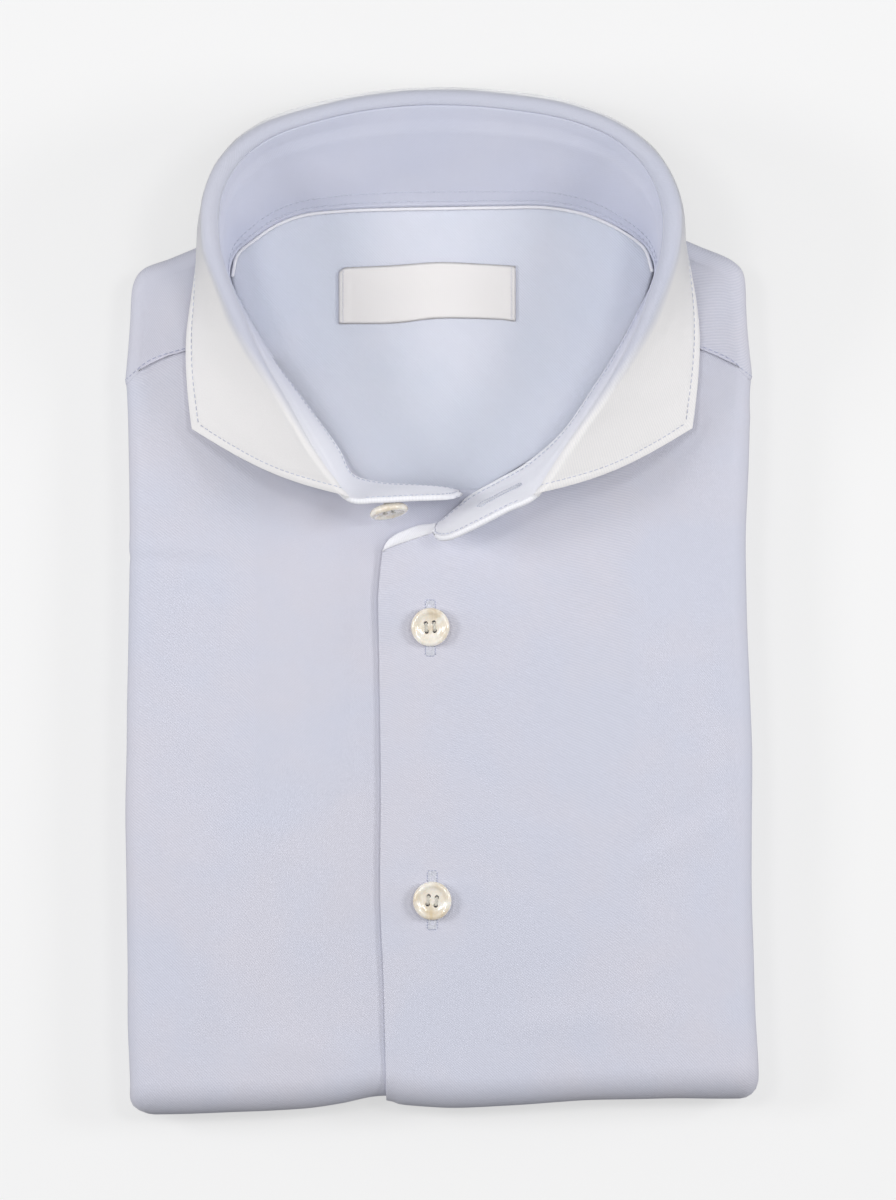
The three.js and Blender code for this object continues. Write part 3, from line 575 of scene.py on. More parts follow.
@dataclass(frozen=True)
class Front:
    """One front of the shirt, from its upper edge down and back up under the pile."""

    name: str
    left_side: bool
    step: float = 2.0
    seam_gap: float = -0.1
    border: float = 0.45

    def left_x(self, y: float) -> float:
        """Returns the x of the panel's flat left limit."""
        return read(LEFT_EDGE, y) + PACK.roll if self.left_side else read(PLACKET_EDGE, y)

    def right_x(self, y: float) -> float:
        """Returns the x of the panel's flat right limit."""
        return UNDERLAP_X if self.left_side else read(RIGHT_EDGE, y) - PACK.roll

    def depth(self, x: float) -> float:
        """Returns how far the panel lies under the pile's outer surface."""
        return PACK.underlap(x) if self.left_side else 0.0

    def start(self, x: float) -> float:
        """Returns the y of the panel's upper edge, the shoulder seam and then the neck."""
        seam, neck = (SEAM_LEFT, NECK_FRONT_LEFT) if self.left_side else (SEAM_RIGHT, NECK_FRONT_RIGHT)
        at_neck = x > -62 if self.left_side else x < 62
        upper = min(read(seam, x), read(neck, x)) if at_neck else read(seam, x)
        return upper - self.seam_gap

    def grid(self) -> Grid:
        """Returns the panel's outer surface, with its creases."""
        width = 110 if self.left_side else 112
        columns = columns_for(self.step, width, self.left_side, not self.left_side, PACK.tuck)
        rows = []
        for row in PACK.stations(self.step):
            line = []
            for column in columns:
                y = start = 60.0
                for _ in range(3):
                    flat_x = mix(self.left_x(y), self.right_x(y), column.share)
                    out = flat_x + column.side * (PACK.roll * math.sin(column.roll) - column.inward)
                    start = self.start(out)
                    depth = self.depth(flat_x)
                    place = PACK.spot(row, start, flat_x, column.side, column.roll, column.inward,
                                      depth)
                    y = place[1]
                line.append(place)
            rows.append(line)
        grid = Grid.of(rows)
        high = np.array([[smooth(p[2], 3, 9) for p in line] for line in grid.points])
        bumps = np.array([[relief(p[0], p[1]) for p in line] for line in grid.points])
        keep = np.array([[self.calm(p[0], p[1]) for p in line] for line in grid.points])
        return grid.moved(bumps * high * keep)

    def calm(self, x: float, y: float) -> float:
        """Damps the creases where a panel is held, at the neck and under the other front."""
        neck = smooth(self.start(x) - y, 0, 16) * 0.7 + 0.3
        under = 1 - 0.8 * smooth(x, -30, -17) if self.left_side else 1.0
        return neck * under * (1.0 if self.left_side else quiet(x, y))

    def build(self) -> bpy.types.Object:
        """Makes the panel as a closed sheet."""
        return shell(self.name, [with_borders(self.grid(), self.border)], PACK.wall)


@dataclass(frozen=True)
class Facing:
    """The turned-in top of the placket, which rolls up between the fold and the right tab."""

    name: str = "placket_facing_cloth"
    wall: float = 0.5
    across: int = 12

    def build(self) -> bpy.types.Object:
        """Makes the strip as a closed sheet that widens towards the tab."""
        rim = spline(np.array(NECK_FRONT_RIGHT[:7], dtype=float), 6)
        low = np.linspace((-18.1, 15.6), (-1.8, 21.0), len(rim))
        rows = []
        for out, inner in zip(rim, low):
            wide = float(np.linalg.norm(out - inner))
            line = []
            for c in range(self.across + 1):
                share = c / self.across
                x, y = mix(out, inner, share)
                rise = min(0.26 * wide, 0.85) * math.sin(math.pi * min(share * 0.9 + 0.1, 1)) ** 0.7
                line.append((x, y, PACK.top(x, y) - 0.35 * (1 - share) ** 3 + 0.1 + rise))
            rows.append(line)
        grid = Grid.of(rows)
        if grid.normals()[len(rim) // 2, 6][2] < 0:
            grid = Grid.of(grid.points[:, ::-1])
        return shell(self.name, [grid], self.wall)


@dataclass(frozen=True)
class Yoke:
    """The shoulder piece, fanned out from the neckline over the pack's shoulder fold."""

    name: str = "yoke_cloth"
    rings: int = 14
    steps: int = 7
    border: float = 0.45

    def fan(self) -> tuple[np.ndarray, np.ndarray]:
        """Returns matched places along the neckline and along the pack's outline."""
        pairs = np.array(YOKE_FAN, dtype=float)
        return spline(pairs[:, 0], self.steps), spline(pairs[:, 1], self.steps)

    def bent(self, x: float, y: float, bend: float) -> float:
        """Returns a place's y, drawn to the seam by a share that is 1 along the seam itself."""
        return mix(y, read(SEAM_LEFT if x < 0 else SEAM_RIGHT, x) + 0.05, bend)

    def grid(self) -> Grid:
        """Returns the yoke's outer surface, from the neckline out and round the fold."""
        neck, rim = self.fan()
        away = np.gradient(rim, axis=0)
        out = np.column_stack([-away[:, 1], away[:, 0]])
        out /= np.linalg.norm(out, axis=1, keepdims=True)
        last = len(neck) - 1
        room = np.linalg.norm(rim - neck, axis=1, keepdims=True)
        base = rim - out * np.minimum(PACK.roll, room * 0.8)
        for _ in range(8):
            base[1:-1] = (base[:-2] + 2 * base[1:-1] + base[2:]) / 4
        turns = [math.pi * k / 10 for k in range(1, 11)]
        fold = self.rings + len(turns)
        rows: list[list[tuple[float, float, float]]] = [[] for _ in range(fold + 3)]
        for k in range(last + 1):
            from_end = min(k, last - k) / self.steps
            bend = 1 - smooth(from_end, 0, 2.5)
            over = rim[k] - base[k]
            for j in range(self.rings + 1):
                x, y = (float(v) for v in mix(neck[k], base[k], j / self.rings))
                y = self.bent(x, y, bend)
                bump = relief(x, y) * smooth(j, 0, 4) * smooth(self.rings - j, 0, 6) * 0.7
                rows[j].append((x, y, PACK.top(x, y) + bump))
            sx, sy = rows[self.rings][-1][:2]
            for n, turn in enumerate(turns):
                x, y = sx + over[0] * math.sin(turn), sy + over[1] * math.sin(turn)
                y = self.bent(x, y, bend)
                z = PACK.height - PACK.roll + PACK.roll * math.cos(turn)
                rows[self.rings + 1 + n].append((x, y, PACK.lifted(x, y, z)))
            for n in (1, 2):
                x, y = sx - over[0] * 0.65 * n, sy - over[1] * 0.65 * n
                y = self.bent(x, y, bend)
                rows[fold + n].append((x, y, rows[fold][-1][2]))
        grid = Grid.of(rows)
        if grid.normals()[3, 5][2] > 0:
            return grid
        return Grid.of(grid.points[:, ::-1])

    def build(self) -> bpy.types.Object:
        """Makes the yoke as a closed sheet whose good side faces out."""
        return shell(self.name, [with_borders(self.grid(), self.border)], PACK.wall)


def inside_height(x: float, y: float) -> float:
    """Returns the height of the yoke's inner face, which climbs to the back of the neck."""
    return 17.8 + 1.6 * smooth(y, 98, 122) + 0.8 * smooth(abs(x), 30, 66)


@dataclass(frozen=True)
class NeckOutline:
    """The neck's opening in plan, let out by a margin that shrinks round the back."""

    margin: float
    middle_y: float = 78.0

    def points(self) -> np.ndarray:
        """Returns the outline, one row per place."""
        left = list(NECK_FRONT_LEFT[:-1])
        back_left = [(-61, 111), (-53.5, 116.4), (-42.3, 120.7), (-31, 121.9), (-14.7, 122.6)]
        back_right = [(24.4, 123.2), (36, 122.8), (49.6, 119.1), (58.5, 114.5), (64, 110)]
        right = [(67, 104.5), (64.2, 97), (59.5, 86.5), (54, 76.5), (47, 65.5), (38, 52.5)]
        around = left[::-1] + back_left + back_right + right
        spots = []
        for x, y in around:
            far = math.hypot(x, y - self.middle_y)
            grown = (far + self.margin * (1 - 0.62 * smooth(y, 85, 105))) / far
            spots.append((x * grown, (y - self.middle_y) * grown + self.middle_y))
        return np.array(spots)

    def span(self, y: float) -> tuple[float, float]:
        """Returns the outline's lowest and highest x at a height up the shirt."""
        spots = self.points()
        found = []
        for p, q in zip(spots, np.roll(spots, -1, axis=0)):
            if (p[1] - y) * (q[1] - y) < 0:
                found.append(mix(p[0], q[0], (y - p[1]) / (q[1] - p[1])))
        return min(found), max(found)

    def share(self, x: float, y: float) -> float:
        """Returns a place's distance from the middle of the neck, as a share of the outline's."""
        spots = self.points() - np.array([0.0, self.middle_y])
        angles = np.arctan2(spots[:, 1], spots[:, 0])
        reach = np.hypot(spots[:, 0], spots[:, 1])
        order = np.argsort(angles)
        angle = math.atan2(y - self.middle_y, x)
        edge = float(np.interp(angle, angles[order], reach[order], period=2 * math.pi))
        return math.hypot(x, y - self.middle_y) / edge


INSIDE_CREASES = (
    Crease((-52, 96), (-40, 70), 5, -0.5), Crease((50, 92), (38, 64), 5, -0.45),
    Crease((-24, 60), (6, 50), 6, 0.4),
)


@dataclass(frozen=True)
class InsideYoke:
    """The yoke's inner layer, seen down through the neck."""

    name: str = "yoke_inside_cloth"
    wall: float = 0.9

    def height(self, x: float, y: float) -> float:
        """Returns the height of the cloth, with the slight sag and pull it has there."""
        pull = 0.3 * noise.noise(Vector((x * 0.03, y * 0.035, 5.5)))
        folds = sum(crease.at(x, y) for crease in INSIDE_CREASES)
        return inside_height(x, y) + (pull + folds) * smooth(118 - y, 0, 14)

    def build(self) -> bpy.types.Object:
        """Makes the inner yoke as a closed sheet."""
        outline = NeckOutline(3.0)
        ys = np.linspace(123.5, 32.2, 54)
        rows = []
        for y in ys:
            low, high = outline.span(float(y))
            rows.append([(x, float(y), self.height(float(x), float(y)))
                         for x in np.linspace(low + 0.2, high - 0.2, 66)])
        spots = np.array(rows)
        grid = Grid.of(spots, spots[..., :2] * np.array([1, -1]))
        return shell(self.name, [grid], self.wall)


def along_edge(grid: Grid, side: str) -> np.ndarray:
    """Returns each point's distance from one side of a grid, measured on the cloth."""
    axis = 0 if side in ("start", "end") else 1
    steps = np.linalg.norm(np.diff(grid.points, axis=axis), axis=2)
    zero = np.zeros_like(np.take(steps, [0], axis))
    total = np.concatenate([zero, np.cumsum(steps, axis=axis)], axis)
    if side in ("end", "right"):
        total = np.take(total, [-1], axis) - total
    return total


def groove(distance: np.ndarray, inset: float, depth: float, width: float = 0.55) -> np.ndarray:
    """Returns the dip that a row of stitches pulls into the cloth."""
    return -depth * np.exp(-(((distance - inset) / width) ** 2))


@dataclass
class Run:
    """A line on a grid's surface: its points and the surface's normals there."""

    points: np.ndarray
    normals: np.ndarray

    def even(self, pitch: float) -> "Run":
        """Returns the line cut into even steps."""
        along = lengths(self.points)
        count = max(int(round(along[-1] / pitch)), 1)
        table = sampled(np.hstack([self.points, self.normals]), along,
                        np.linspace(0.0, along[-1], count + 1))
        return Run(table[:, :3], table[:, 3:])

    def between(self, first: float, last: float) -> "Run":
        """Returns the line without its first and last millimetres."""
        along = lengths(self.points)
        keep = (along > first) & (along < along[-1] - last)
        return Run(self.points[keep], self.normals[keep])


def inset_run(grid: Grid, side: str, inset: float, first: float = 0.0, last: float = 1.0) -> Run:
    """Traces a line at a distance from one side of a grid.

    Args:
        grid: The surface.
        side: start, end, left or right.
        inset: The distance from that side, on the cloth.
        first: Where along the side the line starts, as a share of it.
        last: Where it ends.

    Returns:
        The line, point by point.
    """
    distance, normal = along_edge(grid, side), grid.normals()
    lines = distance if side in ("left", "right") else distance.T
    count = lines.shape[0]
    spots, ups = [], []
    for j in range(round(first * (count - 1)), round(last * (count - 1)) + 1):
        row = lines[j]
        order = np.argsort(row)
        place = float(np.interp(inset, row[order], order.astype(float)))
        i = min(int(place), len(row) - 2)
        part = place - i
        for store, table in ((spots, grid.points), (ups, normal)):
            line = table[j] if side in ("left", "right") else table[:, j]
            store.append(line[i] * (1 - part) + line[i + 1] * part)
    return Run(np.array(spots), np.array(ups))


@dataclass
class Sewing:
    """Stitches gathered into one mesh, each a short thread that dives in at both ends."""

    name: str
    radius: float = 0.16
    spots: list = field(default_factory=list)
    faces: list = field(default_factory=list)

    def stitch(self, start: np.ndarray, end: np.ndarray, up: np.ndarray, sides: int = 6) -> None:
        """Adds one stitch between two places, bulging along up."""
        way = end - start
        length = float(np.linalg.norm(way))
        way = way / max(length, 1e-6)
        across = np.cross(up, way)
        across /= max(float(np.linalg.norm(across)), 1e-6)
        rise = np.cross(way, across)
        rings = ((0.0, -0.7, 0.45), (0.1, 0.25, 0.85), (0.32, 0.75, 1.0), (0.68, 0.75, 1.0),
                 (0.9, 0.25, 0.85), (1.0, -0.7, 0.45))
        base = len(self.spots)
        for along, high, thick in rings:
            centre = start + way * length * along + rise * high * self.radius
            for k in range(sides):
                angle = 2 * math.pi * k / sides
                self.spots.append(centre + self.radius * thick * (
                    across * math.cos(angle) + rise * math.sin(angle)))
        self.faces += tube_faces(len(rings), sides, base, inward=True)

    def row(self, run: Run, pitch: float = 1.9, share: float = 0.74) -> None:
        """Sews a row of stitches along a line."""
        even = run.even(pitch)
        for k in range(len(even.points) - 1):
            a, b = even.points[k], even.points[k + 1]
            rest = (1 - share) / 2
            self.stitch(a + (b - a) * rest, b - (b - a) * rest, even.normals[k])

    def build(self) -> bpy.types.Object:
        """Makes the mesh of all the stitches."""
        return smooth_object(self.name, self.spots, self.faces)


@dataclass(frozen=True)
class Collar:
    """The stand and the leaf that turns down over it.

    Attributes:
        steps: Samples between two stations.
        stand_wall: Thickness of the stand.
        leaf_wall: Thickness of the leaf.
        roll: Radius of the roll along the collar's top.
        edge_inset: How far the leaf's topstitching lies from its edge.
        foot_inset: How far the lower row of stitches lies from the stand's foot.
        second_inset: How far the row above it does, round the back.
        tab_inset: How far the tabs' topstitching lies from their top.
    """

    steps: int = 9
    stand_wall: float = 1.7
    leaf_wall: float = 1.6
    roll: float = 3.0
    edge_inset: float = 3.4
    foot_inset: float = 1.3
    second_inset: float = 4.7
    tab_inset: float = 1.5

    @staticmethod
    def path(rows: Sequence, columns: Sequence[int], steps: int) -> np.ndarray:
        """Returns a smooth line through some of the columns of the collar's table."""
        return spline(np.array([[row[c] for c in columns] for row in rows], dtype=float), steps)

    def feet(self, rows: Sequence) -> np.ndarray:
        """Returns the stand's foot, clear of the cloth under it."""
        top = self.path(rows, (2, 3, 4), self.steps)
        plan = self.path(rows, (0, 1), self.steps)
        half = len(rows) * self.steps / 2
        spots = []
        for k, (x, y) in enumerate(plan):
            depth = PACK.underlap(x) if y < 60 and k < half else 0.0
            under = PACK.top(x, y, depth)
            out = math.hypot(top[k][0] - x, top[k][1] - y)
            lean = math.sin(math.atan2(out, top[k][2] - under))
            spots.append((x, y, under + 0.3 + self.stand_wall * lean))
        return np.array(spots)

    def stand(self) -> Grid:
        """Returns the stand's inner face, from its foot to the seam under the leaf."""
        rows = TAB_LEFT + COLLAR + TAB_RIGHT
        low, high = self.feet(rows), self.path(rows, (2, 3, 4), self.steps)
        count, last = 18, len(low) - 1
        lines = []
        for k in range(last + 1):
            rib = high[k] - low[k]
            length = float(np.linalg.norm(rib))
            end = high[k] - rib / length * 0.35
            lines.append([low[k] + (end - low[k]) * c / count for c in range(count + 1)])
        grid = Grid.of(lines)
        foot, top = along_edge(grid, "left"), along_edge(grid, "right")
        ends = np.minimum(along_edge(grid, "start"), along_edge(grid, "end"))
        waves = ruffles(range(last + 1), count + 1, (0.5, 0.045, 0.11, 1.7), (0.22, 0.13, 0.2, 4.2))
        middle = np.array([[smooth(min(k, last - k) / self.steps, 3, 8)] for k in range(last + 1)])
        bend = -0.45 * np.exp(-(((top - 5.4) / 1.5) ** 2)) + 0.3 * np.exp(-(((top - 8.6) / 2.2) ** 2))
        shape = (groove(foot, self.foot_inset, 0.22) + groove(foot, self.second_inset, 0.16)
                 + bend * middle + waves * np.minimum(foot / 6, 1) * np.minimum(top / 4, 1)
                 + groove(top, self.tab_inset, 0.16) * (1 - middle) + groove(ends, self.tab_inset, 0.1))
        return grid.moved(shape)

    def allowance(self, stand: Grid) -> Grid:
        """Returns the stand's turned-under seam edge, which runs down behind the piping."""
        rows = stand.points.shape[0] - 1
        share = self.steps / rows
        lines = []
        for j in range(round(8 * share * rows), round((1 - 2.6 * share) * rows) + 1):
            foot, above = stand.points[j, 0], stand.points[j, 1]
            inward = np.array([-foot[0], 80 - foot[1], 0.0])
            inward /= float(np.linalg.norm(inward))
            low = inside_height(foot[0], foot[1]) - 0.1
            lines.append([np.array([*(foot[:2] + inward[:2] * 0.5), low]),
                          np.array([*(foot[:2] + inward[:2] * 0.42), mix(low, foot[2], 0.5)]),
                          foot + inward * 0.26, mix(foot, above, 0.5) + inward * 0.1])
        grid = Grid.of(lines)
        grid.wall = 0.35
        return grid

    def section(self, neck: np.ndarray, seam: np.ndarray, edge: np.ndarray, bow: float) -> list:
        """Returns one section of the leaf: over the roll, then down to its edge."""
        out = np.array([edge[0] - seam[0], edge[1] - seam[1], 0.0])
        reach = float(np.linalg.norm(out))
        out /= reach
        lean_out = (seam[0] - neck[0]) * out[0] + (seam[1] - neck[1]) * out[1]
        lean = max(math.atan2(lean_out, seam[2] - neck[2]), 0.0)
        centre = np.array([self.roll * math.cos(lean), -self.roll * math.sin(lean)])
        to_edge = np.array([reach, edge[2] - seam[2]]) - centre
        turn = math.atan2(to_edge[1], to_edge[0]) % (2 * math.pi)
        last = turn - 2 * math.pi + math.acos(self.roll / float(np.linalg.norm(to_edge)))
        first = math.pi - lean
        flat = [centre + self.roll * np.array([math.cos(a), math.sin(a)])
                for a in np.linspace(first, last, 13)]
        start = flat[-1]
        parts = [k / 22 for k in range(1, 20)] + [0.885, 0.905, 0.925, 0.945, 0.965, 0.985, 1.0]
        for part in parts:
            belly = 0.8 * math.sin(math.pi * part)
            flat.append(np.array([mix(start[0], reach, part) + belly,
                                  mix(start[1], edge[2] - seam[2], part) + belly * 0.5]))
        spots = []
        for along, up in flat:
            place = seam + out * along + np.array([0, 0, up])
            place[1] -= bow * math.sin(math.pi * along / reach)
            spots.append(place)
        return spots

    def leaf(self) -> Grid:
        """Returns the leaf's outer face, from the seam over the roll to its edge."""
        neck = self.feet(COLLAR)
        seam = self.path(COLLAR, (2, 3, 4), self.steps)
        edge = self.path(COLLAR, (5, 6, 7), self.steps)
        last = len(seam) - 1
        keys = [0, 0.25, 0.5, 0.8, 1.2, 1.7] + list(range(2, last - 1))
        keys += [last - 1.7, last - 1.2, last - 0.8, last - 0.5, last - 0.25, last]
        lines = []
        for key in keys:
            k = min(int(key), last - 1)
            part = key - k
            n, s, e = (t[k] * (1 - part) + t[k + 1] * part for t in (neck, seam, edge))
            from_end = min(key, last - key) / self.steps
            lines.append(self.section(n, s, e, 3 * (1 - smooth(from_end, 0, 3))))
        grid = Grid.of(lines)
        rim = along_edge(grid, "right")
        ends = np.minimum(along_edge(grid, "start"), along_edge(grid, "end"))
        border = np.minimum(rim, ends)
        waves = ruffles(keys, grid.points.shape[1], (0.55, 0.05, 0.07, 9.3), (0.16, 0.17, 0.2, 2.2))
        seam_dip = groove(along_edge(grid, "left"), 0.0, 0.16, 0.7)
        band = 0.1 * (1 - np.clip((border - 2.6) / 0.8, 0, 1)) * np.clip(border / 0.8, 0, 1)
        calm = np.clip(border / 9, 0, 1) * np.clip(along_edge(grid, "left") / 6, 0.1, 1)
        return grid.moved(waves * calm + groove(border, self.edge_inset, 0.3, 0.6) + band + seam_dip)

    def sew(self, leaf: Grid, stand: Grid) -> Sewing:
        """Sews the topstitching of the leaf's edges and of the stand's foot and tabs."""
        thread = Sewing("collar_stitches", 0.15)
        edge = self.edge_inset
        thread.row(inset_run(leaf, "right", edge).between(edge, edge))
        for side in ("start", "end"):
            thread.row(inset_run(leaf, side, edge).between(0.8, edge))
        tab = 4.4 / (len(COLLAR) + 9)
        for side, inset, first, last in (
                ("left", self.foot_inset, 0.03, 0.97), ("left", self.second_inset, 0.27, 0.73),
                ("right", self.tab_inset, 0.008, tab), ("right", self.tab_inset, 1 - tab, 0.992)):
            thread.row(inset_run(stand, side, inset, first, last), 1.7)
        return thread


@dataclass(frozen=True)
class Piping:
    """A white twisted cord sewn in round the back of the neck."""

    radius: float = 0.55
    sides: int = 14
    lay: float = 2.6

    def build(self) -> bpy.types.Object:
        """Makes the cord as one closed tube whose two plies show."""
        plan = Collar.path(COLLAR[5:20], (0, 1), 6)
        spots = []
        for x, y in plan:
            inward = np.array([-x, 80 - y])
            inward *= (0.4 + self.radius) / float(np.linalg.norm(inward))
            px, py = x + inward[0], y + inward[1]
            spots.append((px, py, inside_height(px, py) + 0.3 + self.radius + 0.25))
        line = spaced(np.array(spots), 0.45)
        way = np.gradient(line, axis=0)
        rings = []
        for k, (point, ahead) in enumerate(zip(line, way)):
            side = np.array([ahead[1], -ahead[0], 0.0])
            side /= float(np.linalg.norm(side))
            size = self.radius if 0 < k < len(line) - 1 else self.radius * 0.6
            for i in range(self.sides):
                angle = 2 * math.pi * i / self.sides
                ply = 1 + 0.16 * (abs(math.cos(angle - math.pi * k * 0.45 / self.lay)) - 0.6)
                rings.append(point + size * ply * (side * math.cos(angle)
                                                   + np.array([0, 0, 1]) * math.sin(angle)))
        return smooth_object("neck_piping_cord", rings, tube_faces(len(line), self.sides))


# The label's upper and lower edges: the share across it, and y
LABEL_TOP: Table = ((0.0, 103.7), (0.3, 104.4), (0.56, 105.4), (0.8, 104.9), (1.0, 104.2))
LABEL_FOOT: Table = ((0.0, 86.1), (0.31, 86.3), (0.56, 87.8), (0.9, 87.5), (1.0, 86.8))


@dataclass(frozen=True)
class Label:
    """A bare woven label with its ends folded under, loose along its lower edge."""

    left: float = -32.2
    right: float = 23.4
    wall: float = 0.32
    fold: float = 0.12

    def place(self, across: float, down: float, under: bool) -> tuple[float, float, float]:
        """Returns a point of the label from its shares across and down."""
        x = mix(self.left, self.right, across)
        top, bottom = read(LABEL_TOP, across), read(LABEL_FOOT, across)
        corner = max(1 - across / 0.055, 0.0)
        top -= 2.4 * (1 - math.sqrt(max(1 - corner * corner, 0.0)))
        y = mix(top, bottom, down)
        end = min(across, 1 - across)
        loose = down ** 2 * (0.24 + 0.26 * math.sin(across * 7.4 + 3.6)) * smooth(end, 0.0, 0.12)
        ridge = 0.2 * (1 - smooth(end, 0.052, 0.07))
        z = InsideYoke().height(x, y) + 0.1 + (0.0 if under else self.wall + self.fold)
        return x, y, z + (0.0 if under else loose + ridge)

    def grid(self) -> Grid:
        """Returns the label's good side, with the folds at its ends."""
        rows = []
        for j in range(19):
            down = j / 18
            line = [self.place(a, down, True) for a in (0.055, 0.03, 0.01)]
            line += [self.place(a, down, False) for a in np.linspace(0.004, 0.996, 74)]
            line += [self.place(a, down, True) for a in (0.99, 0.97, 0.945)]
            rows.append(line)
        return Grid.of(rows)

    def build(self) -> bpy.types.Object:
        """Makes the label as a closed sheet."""
        return shell("label_cloth", [self.grid()], self.wall * 0.8)

    def sew(self, grid: Grid) -> Sewing:
        """Sews the zigzag that holds each end of the label."""
        thread = Sewing("label_stitches", 0.1)
        for across in (0.028, 0.972):
            points, ups = [], []
            for k in range(27):
                down = 0.03 + 0.94 * k / 26
                shift = 0.007 if k % 2 else -0.007
                points.append(np.array(self.place(across + shift, down, False)))
                ups.append(np.array([0.0, 0.0, 1.0]))
            for k in range(26):
                a, b = points[k], points[k + 1]
                thread.stitch(a + (b - a) * 0.08, b - (b - a) * 0.08, ups[k], 5)
        return thread


def closed_mesh(name: str, spots: Sequence, faces: Sequence) -> bpy.types.Object:
    """Makes a smooth closed object from points in millimetres, with its faces outward."""
    mesh = bpy.data.meshes.new(name)
    mesh.from_pydata((np.array(spots, dtype=float) * MM).tolist(), [], list(faces))
    tidy = bmesh.new()
    tidy.from_mesh(mesh)
    bmesh.ops.recalc_face_normals(tidy, faces=tidy.faces)
    tidy.to_mesh(mesh)
    tidy.free()
    mesh.shade_smooth()
    return new_object(name, mesh)


SHOULDER_FOLD: Table = (
    (-95, 102.5), (-76, 110.0), (-60, 119.0), (-40, 127.0), (-20, 130.0), (0, 130.6), (20, 130.6),
    (40, 128.0), (60, 120.5), (76, 112.2), (94, 105.3),
)


@dataclass(frozen=True)
class Layers:
    """The back, sleeves and tails folded away inside the pile, layered at the rim."""

    name: str = "folded_layers_cloth"
    inset: float = 1.75
    folds: int = 4
    foot_y: float = -147.0

    def loop(self, top_y: Callable[[float], float], inset: float, count: int = 220) -> np.ndarray:
        """Returns a rounded plan outline, counter-clockwise."""
        right = [(read(RIGHT_EDGE, y) - inset, y) for y in np.linspace(self.foot_y, top_y(93) - 1, 50)]
        head = [(x, top_y(x) - inset) for x in np.linspace(91, -91, 50)]
        left = [(read(LEFT_EDGE, y) + inset, y) for y in np.linspace(top_y(-93) - 1, self.foot_y, 50)]
        foot = [(x, self.foot_y) for x in np.linspace(-91, 91, 40)]
        ring = np.array(right + head + left + foot)
        ring = np.vstack([ring, ring[:1]])
        along = lengths(ring)
        even = sampled(ring, along, np.linspace(0, along[-1], count, endpoint=False))
        for _ in range(3):
            even = (np.roll(even, 1, axis=0) + even + np.roll(even, -1, axis=0)) / 3
        return even

    def slab(self, loop: np.ndarray, low: float, high: float, folds: int,
             ceiling: Callable[[float, float], float]) -> tuple[list, list]:
        """Returns the points and faces of one closed, layered slab."""
        middle, radius = (low + high) / 2, (high - low) / 2
        away = np.roll(loop, -1, axis=0) - np.roll(loop, 1, axis=0)
        out = np.column_stack([away[:, 1], -away[:, 0]])
        out /= np.linalg.norm(out, axis=1, keepdims=True)
        centre = loop.mean(axis=0)
        caps = [0.04, 0.2, 0.4, 0.55, 0.7, 0.8, 0.88, 0.94]
        rings = []
        for share in caps:
            rings.append([(*(centre + (p - centre) * share), low) for p in loop])
        for k in range(folds * 6 + 1):
            z = mix(low, high, k / (folds * 6))
            env = radius * (1 - math.sqrt(max(1 - ((z - middle) / radius) ** 2, 0.0)))
            ripple = 0.55 * (1 - abs(math.sin(math.pi * k / 6)))
            wave = [0.35 * math.sin(n * 0.11 + k // 6 * 1.9) for n in range(len(loop))]
            rings.append([(*(p - o * (env + ripple + 0.35 + w)), min(z, ceiling(*p)))
                          for p, o, w in zip(loop, out, wave)])
        for share in caps[::-1]:
            spots = centre + (loop - centre) * share
            rings.append([(x, y, ceiling(x, y)) for x, y in spots])
        return [spot for ring in rings for spot in ring], tube_faces(len(rings), len(loop))

    def build(self) -> bpy.types.Object:
        """Makes the layered body: the upper leg, the lower leg and the edges between them."""
        pocket = NeckOutline(3.3)
        high = PACK.height - PACK.wall - 0.35

        def ceiling(x: float, y: float) -> float:
            free = PACK.lifted(x, y, high - PACK.underlap(x)) - 0.15
            share = pocket.share(x, y)
            if share > 1.25:
                return free
            return mix(inside_height(x, y) - 1.3, free, smooth(share, 1.03, 1.16))

        def shoulder(x: float) -> float:
            return read(SHOULDER_FOLD, x)

        mid = PACK.mid
        parts = [
            self.slab(self.loop(shoulder, self.inset), mid + 0.45, high, self.folds, ceiling),
            self.slab(self.loop(lambda x: PACK.hem_y, self.inset + PACK.low_inset), 1.45, mid - 0.45,
                      self.folds, lambda x, y: mid - 0.45),
            self.slab(self.loop(lambda x: min(113.0 - 0.05 * x, shoulder(x) - 5.0), 4.6), mid + 0.04,
                      mid + 0.36, 1, lambda x, y: mid + 0.36),
            self.slab(self.loop(lambda x: min(101.0 + 0.03 * x, shoulder(x) - 6.5), 5.6), mid - 0.34,
                      mid - 0.02, 1, lambda x, y: mid - 0.02),
        ]
        spots, faces = [], []
        for points, tiles in parts:
            base = len(spots)
            spots += points
            faces += [tuple(base + k for k in tile) for tile in tiles]
        return closed_mesh(self.name, spots, faces)


@dataclass(frozen=True)
class ButtonSize:
    """Sizes of a four-hole pearl button."""

    radius: float = 6.0
    thick: float = 2.8
    hole: float = 0.68
    ring: float = 1.8


@dataclass(frozen=True)
class Placing:
    """Where a button sits, which way it looks and how it is turned."""

    node: str
    x: float
    y: float
    z: float
    face: tuple[float, float, float]
    spin: float

    def matrix(self) -> Matrix:
        """Returns the turn and place that set a button made at the origin."""
        turn = Vector((0, 0, 1)).rotation_difference(Vector(self.face).normalized())
        spin = Matrix.Rotation(self.spin, 4, "Z")
        return Matrix.Translation((self.x, self.y, self.z)) @ turn.to_matrix().to_4x4() @ spin


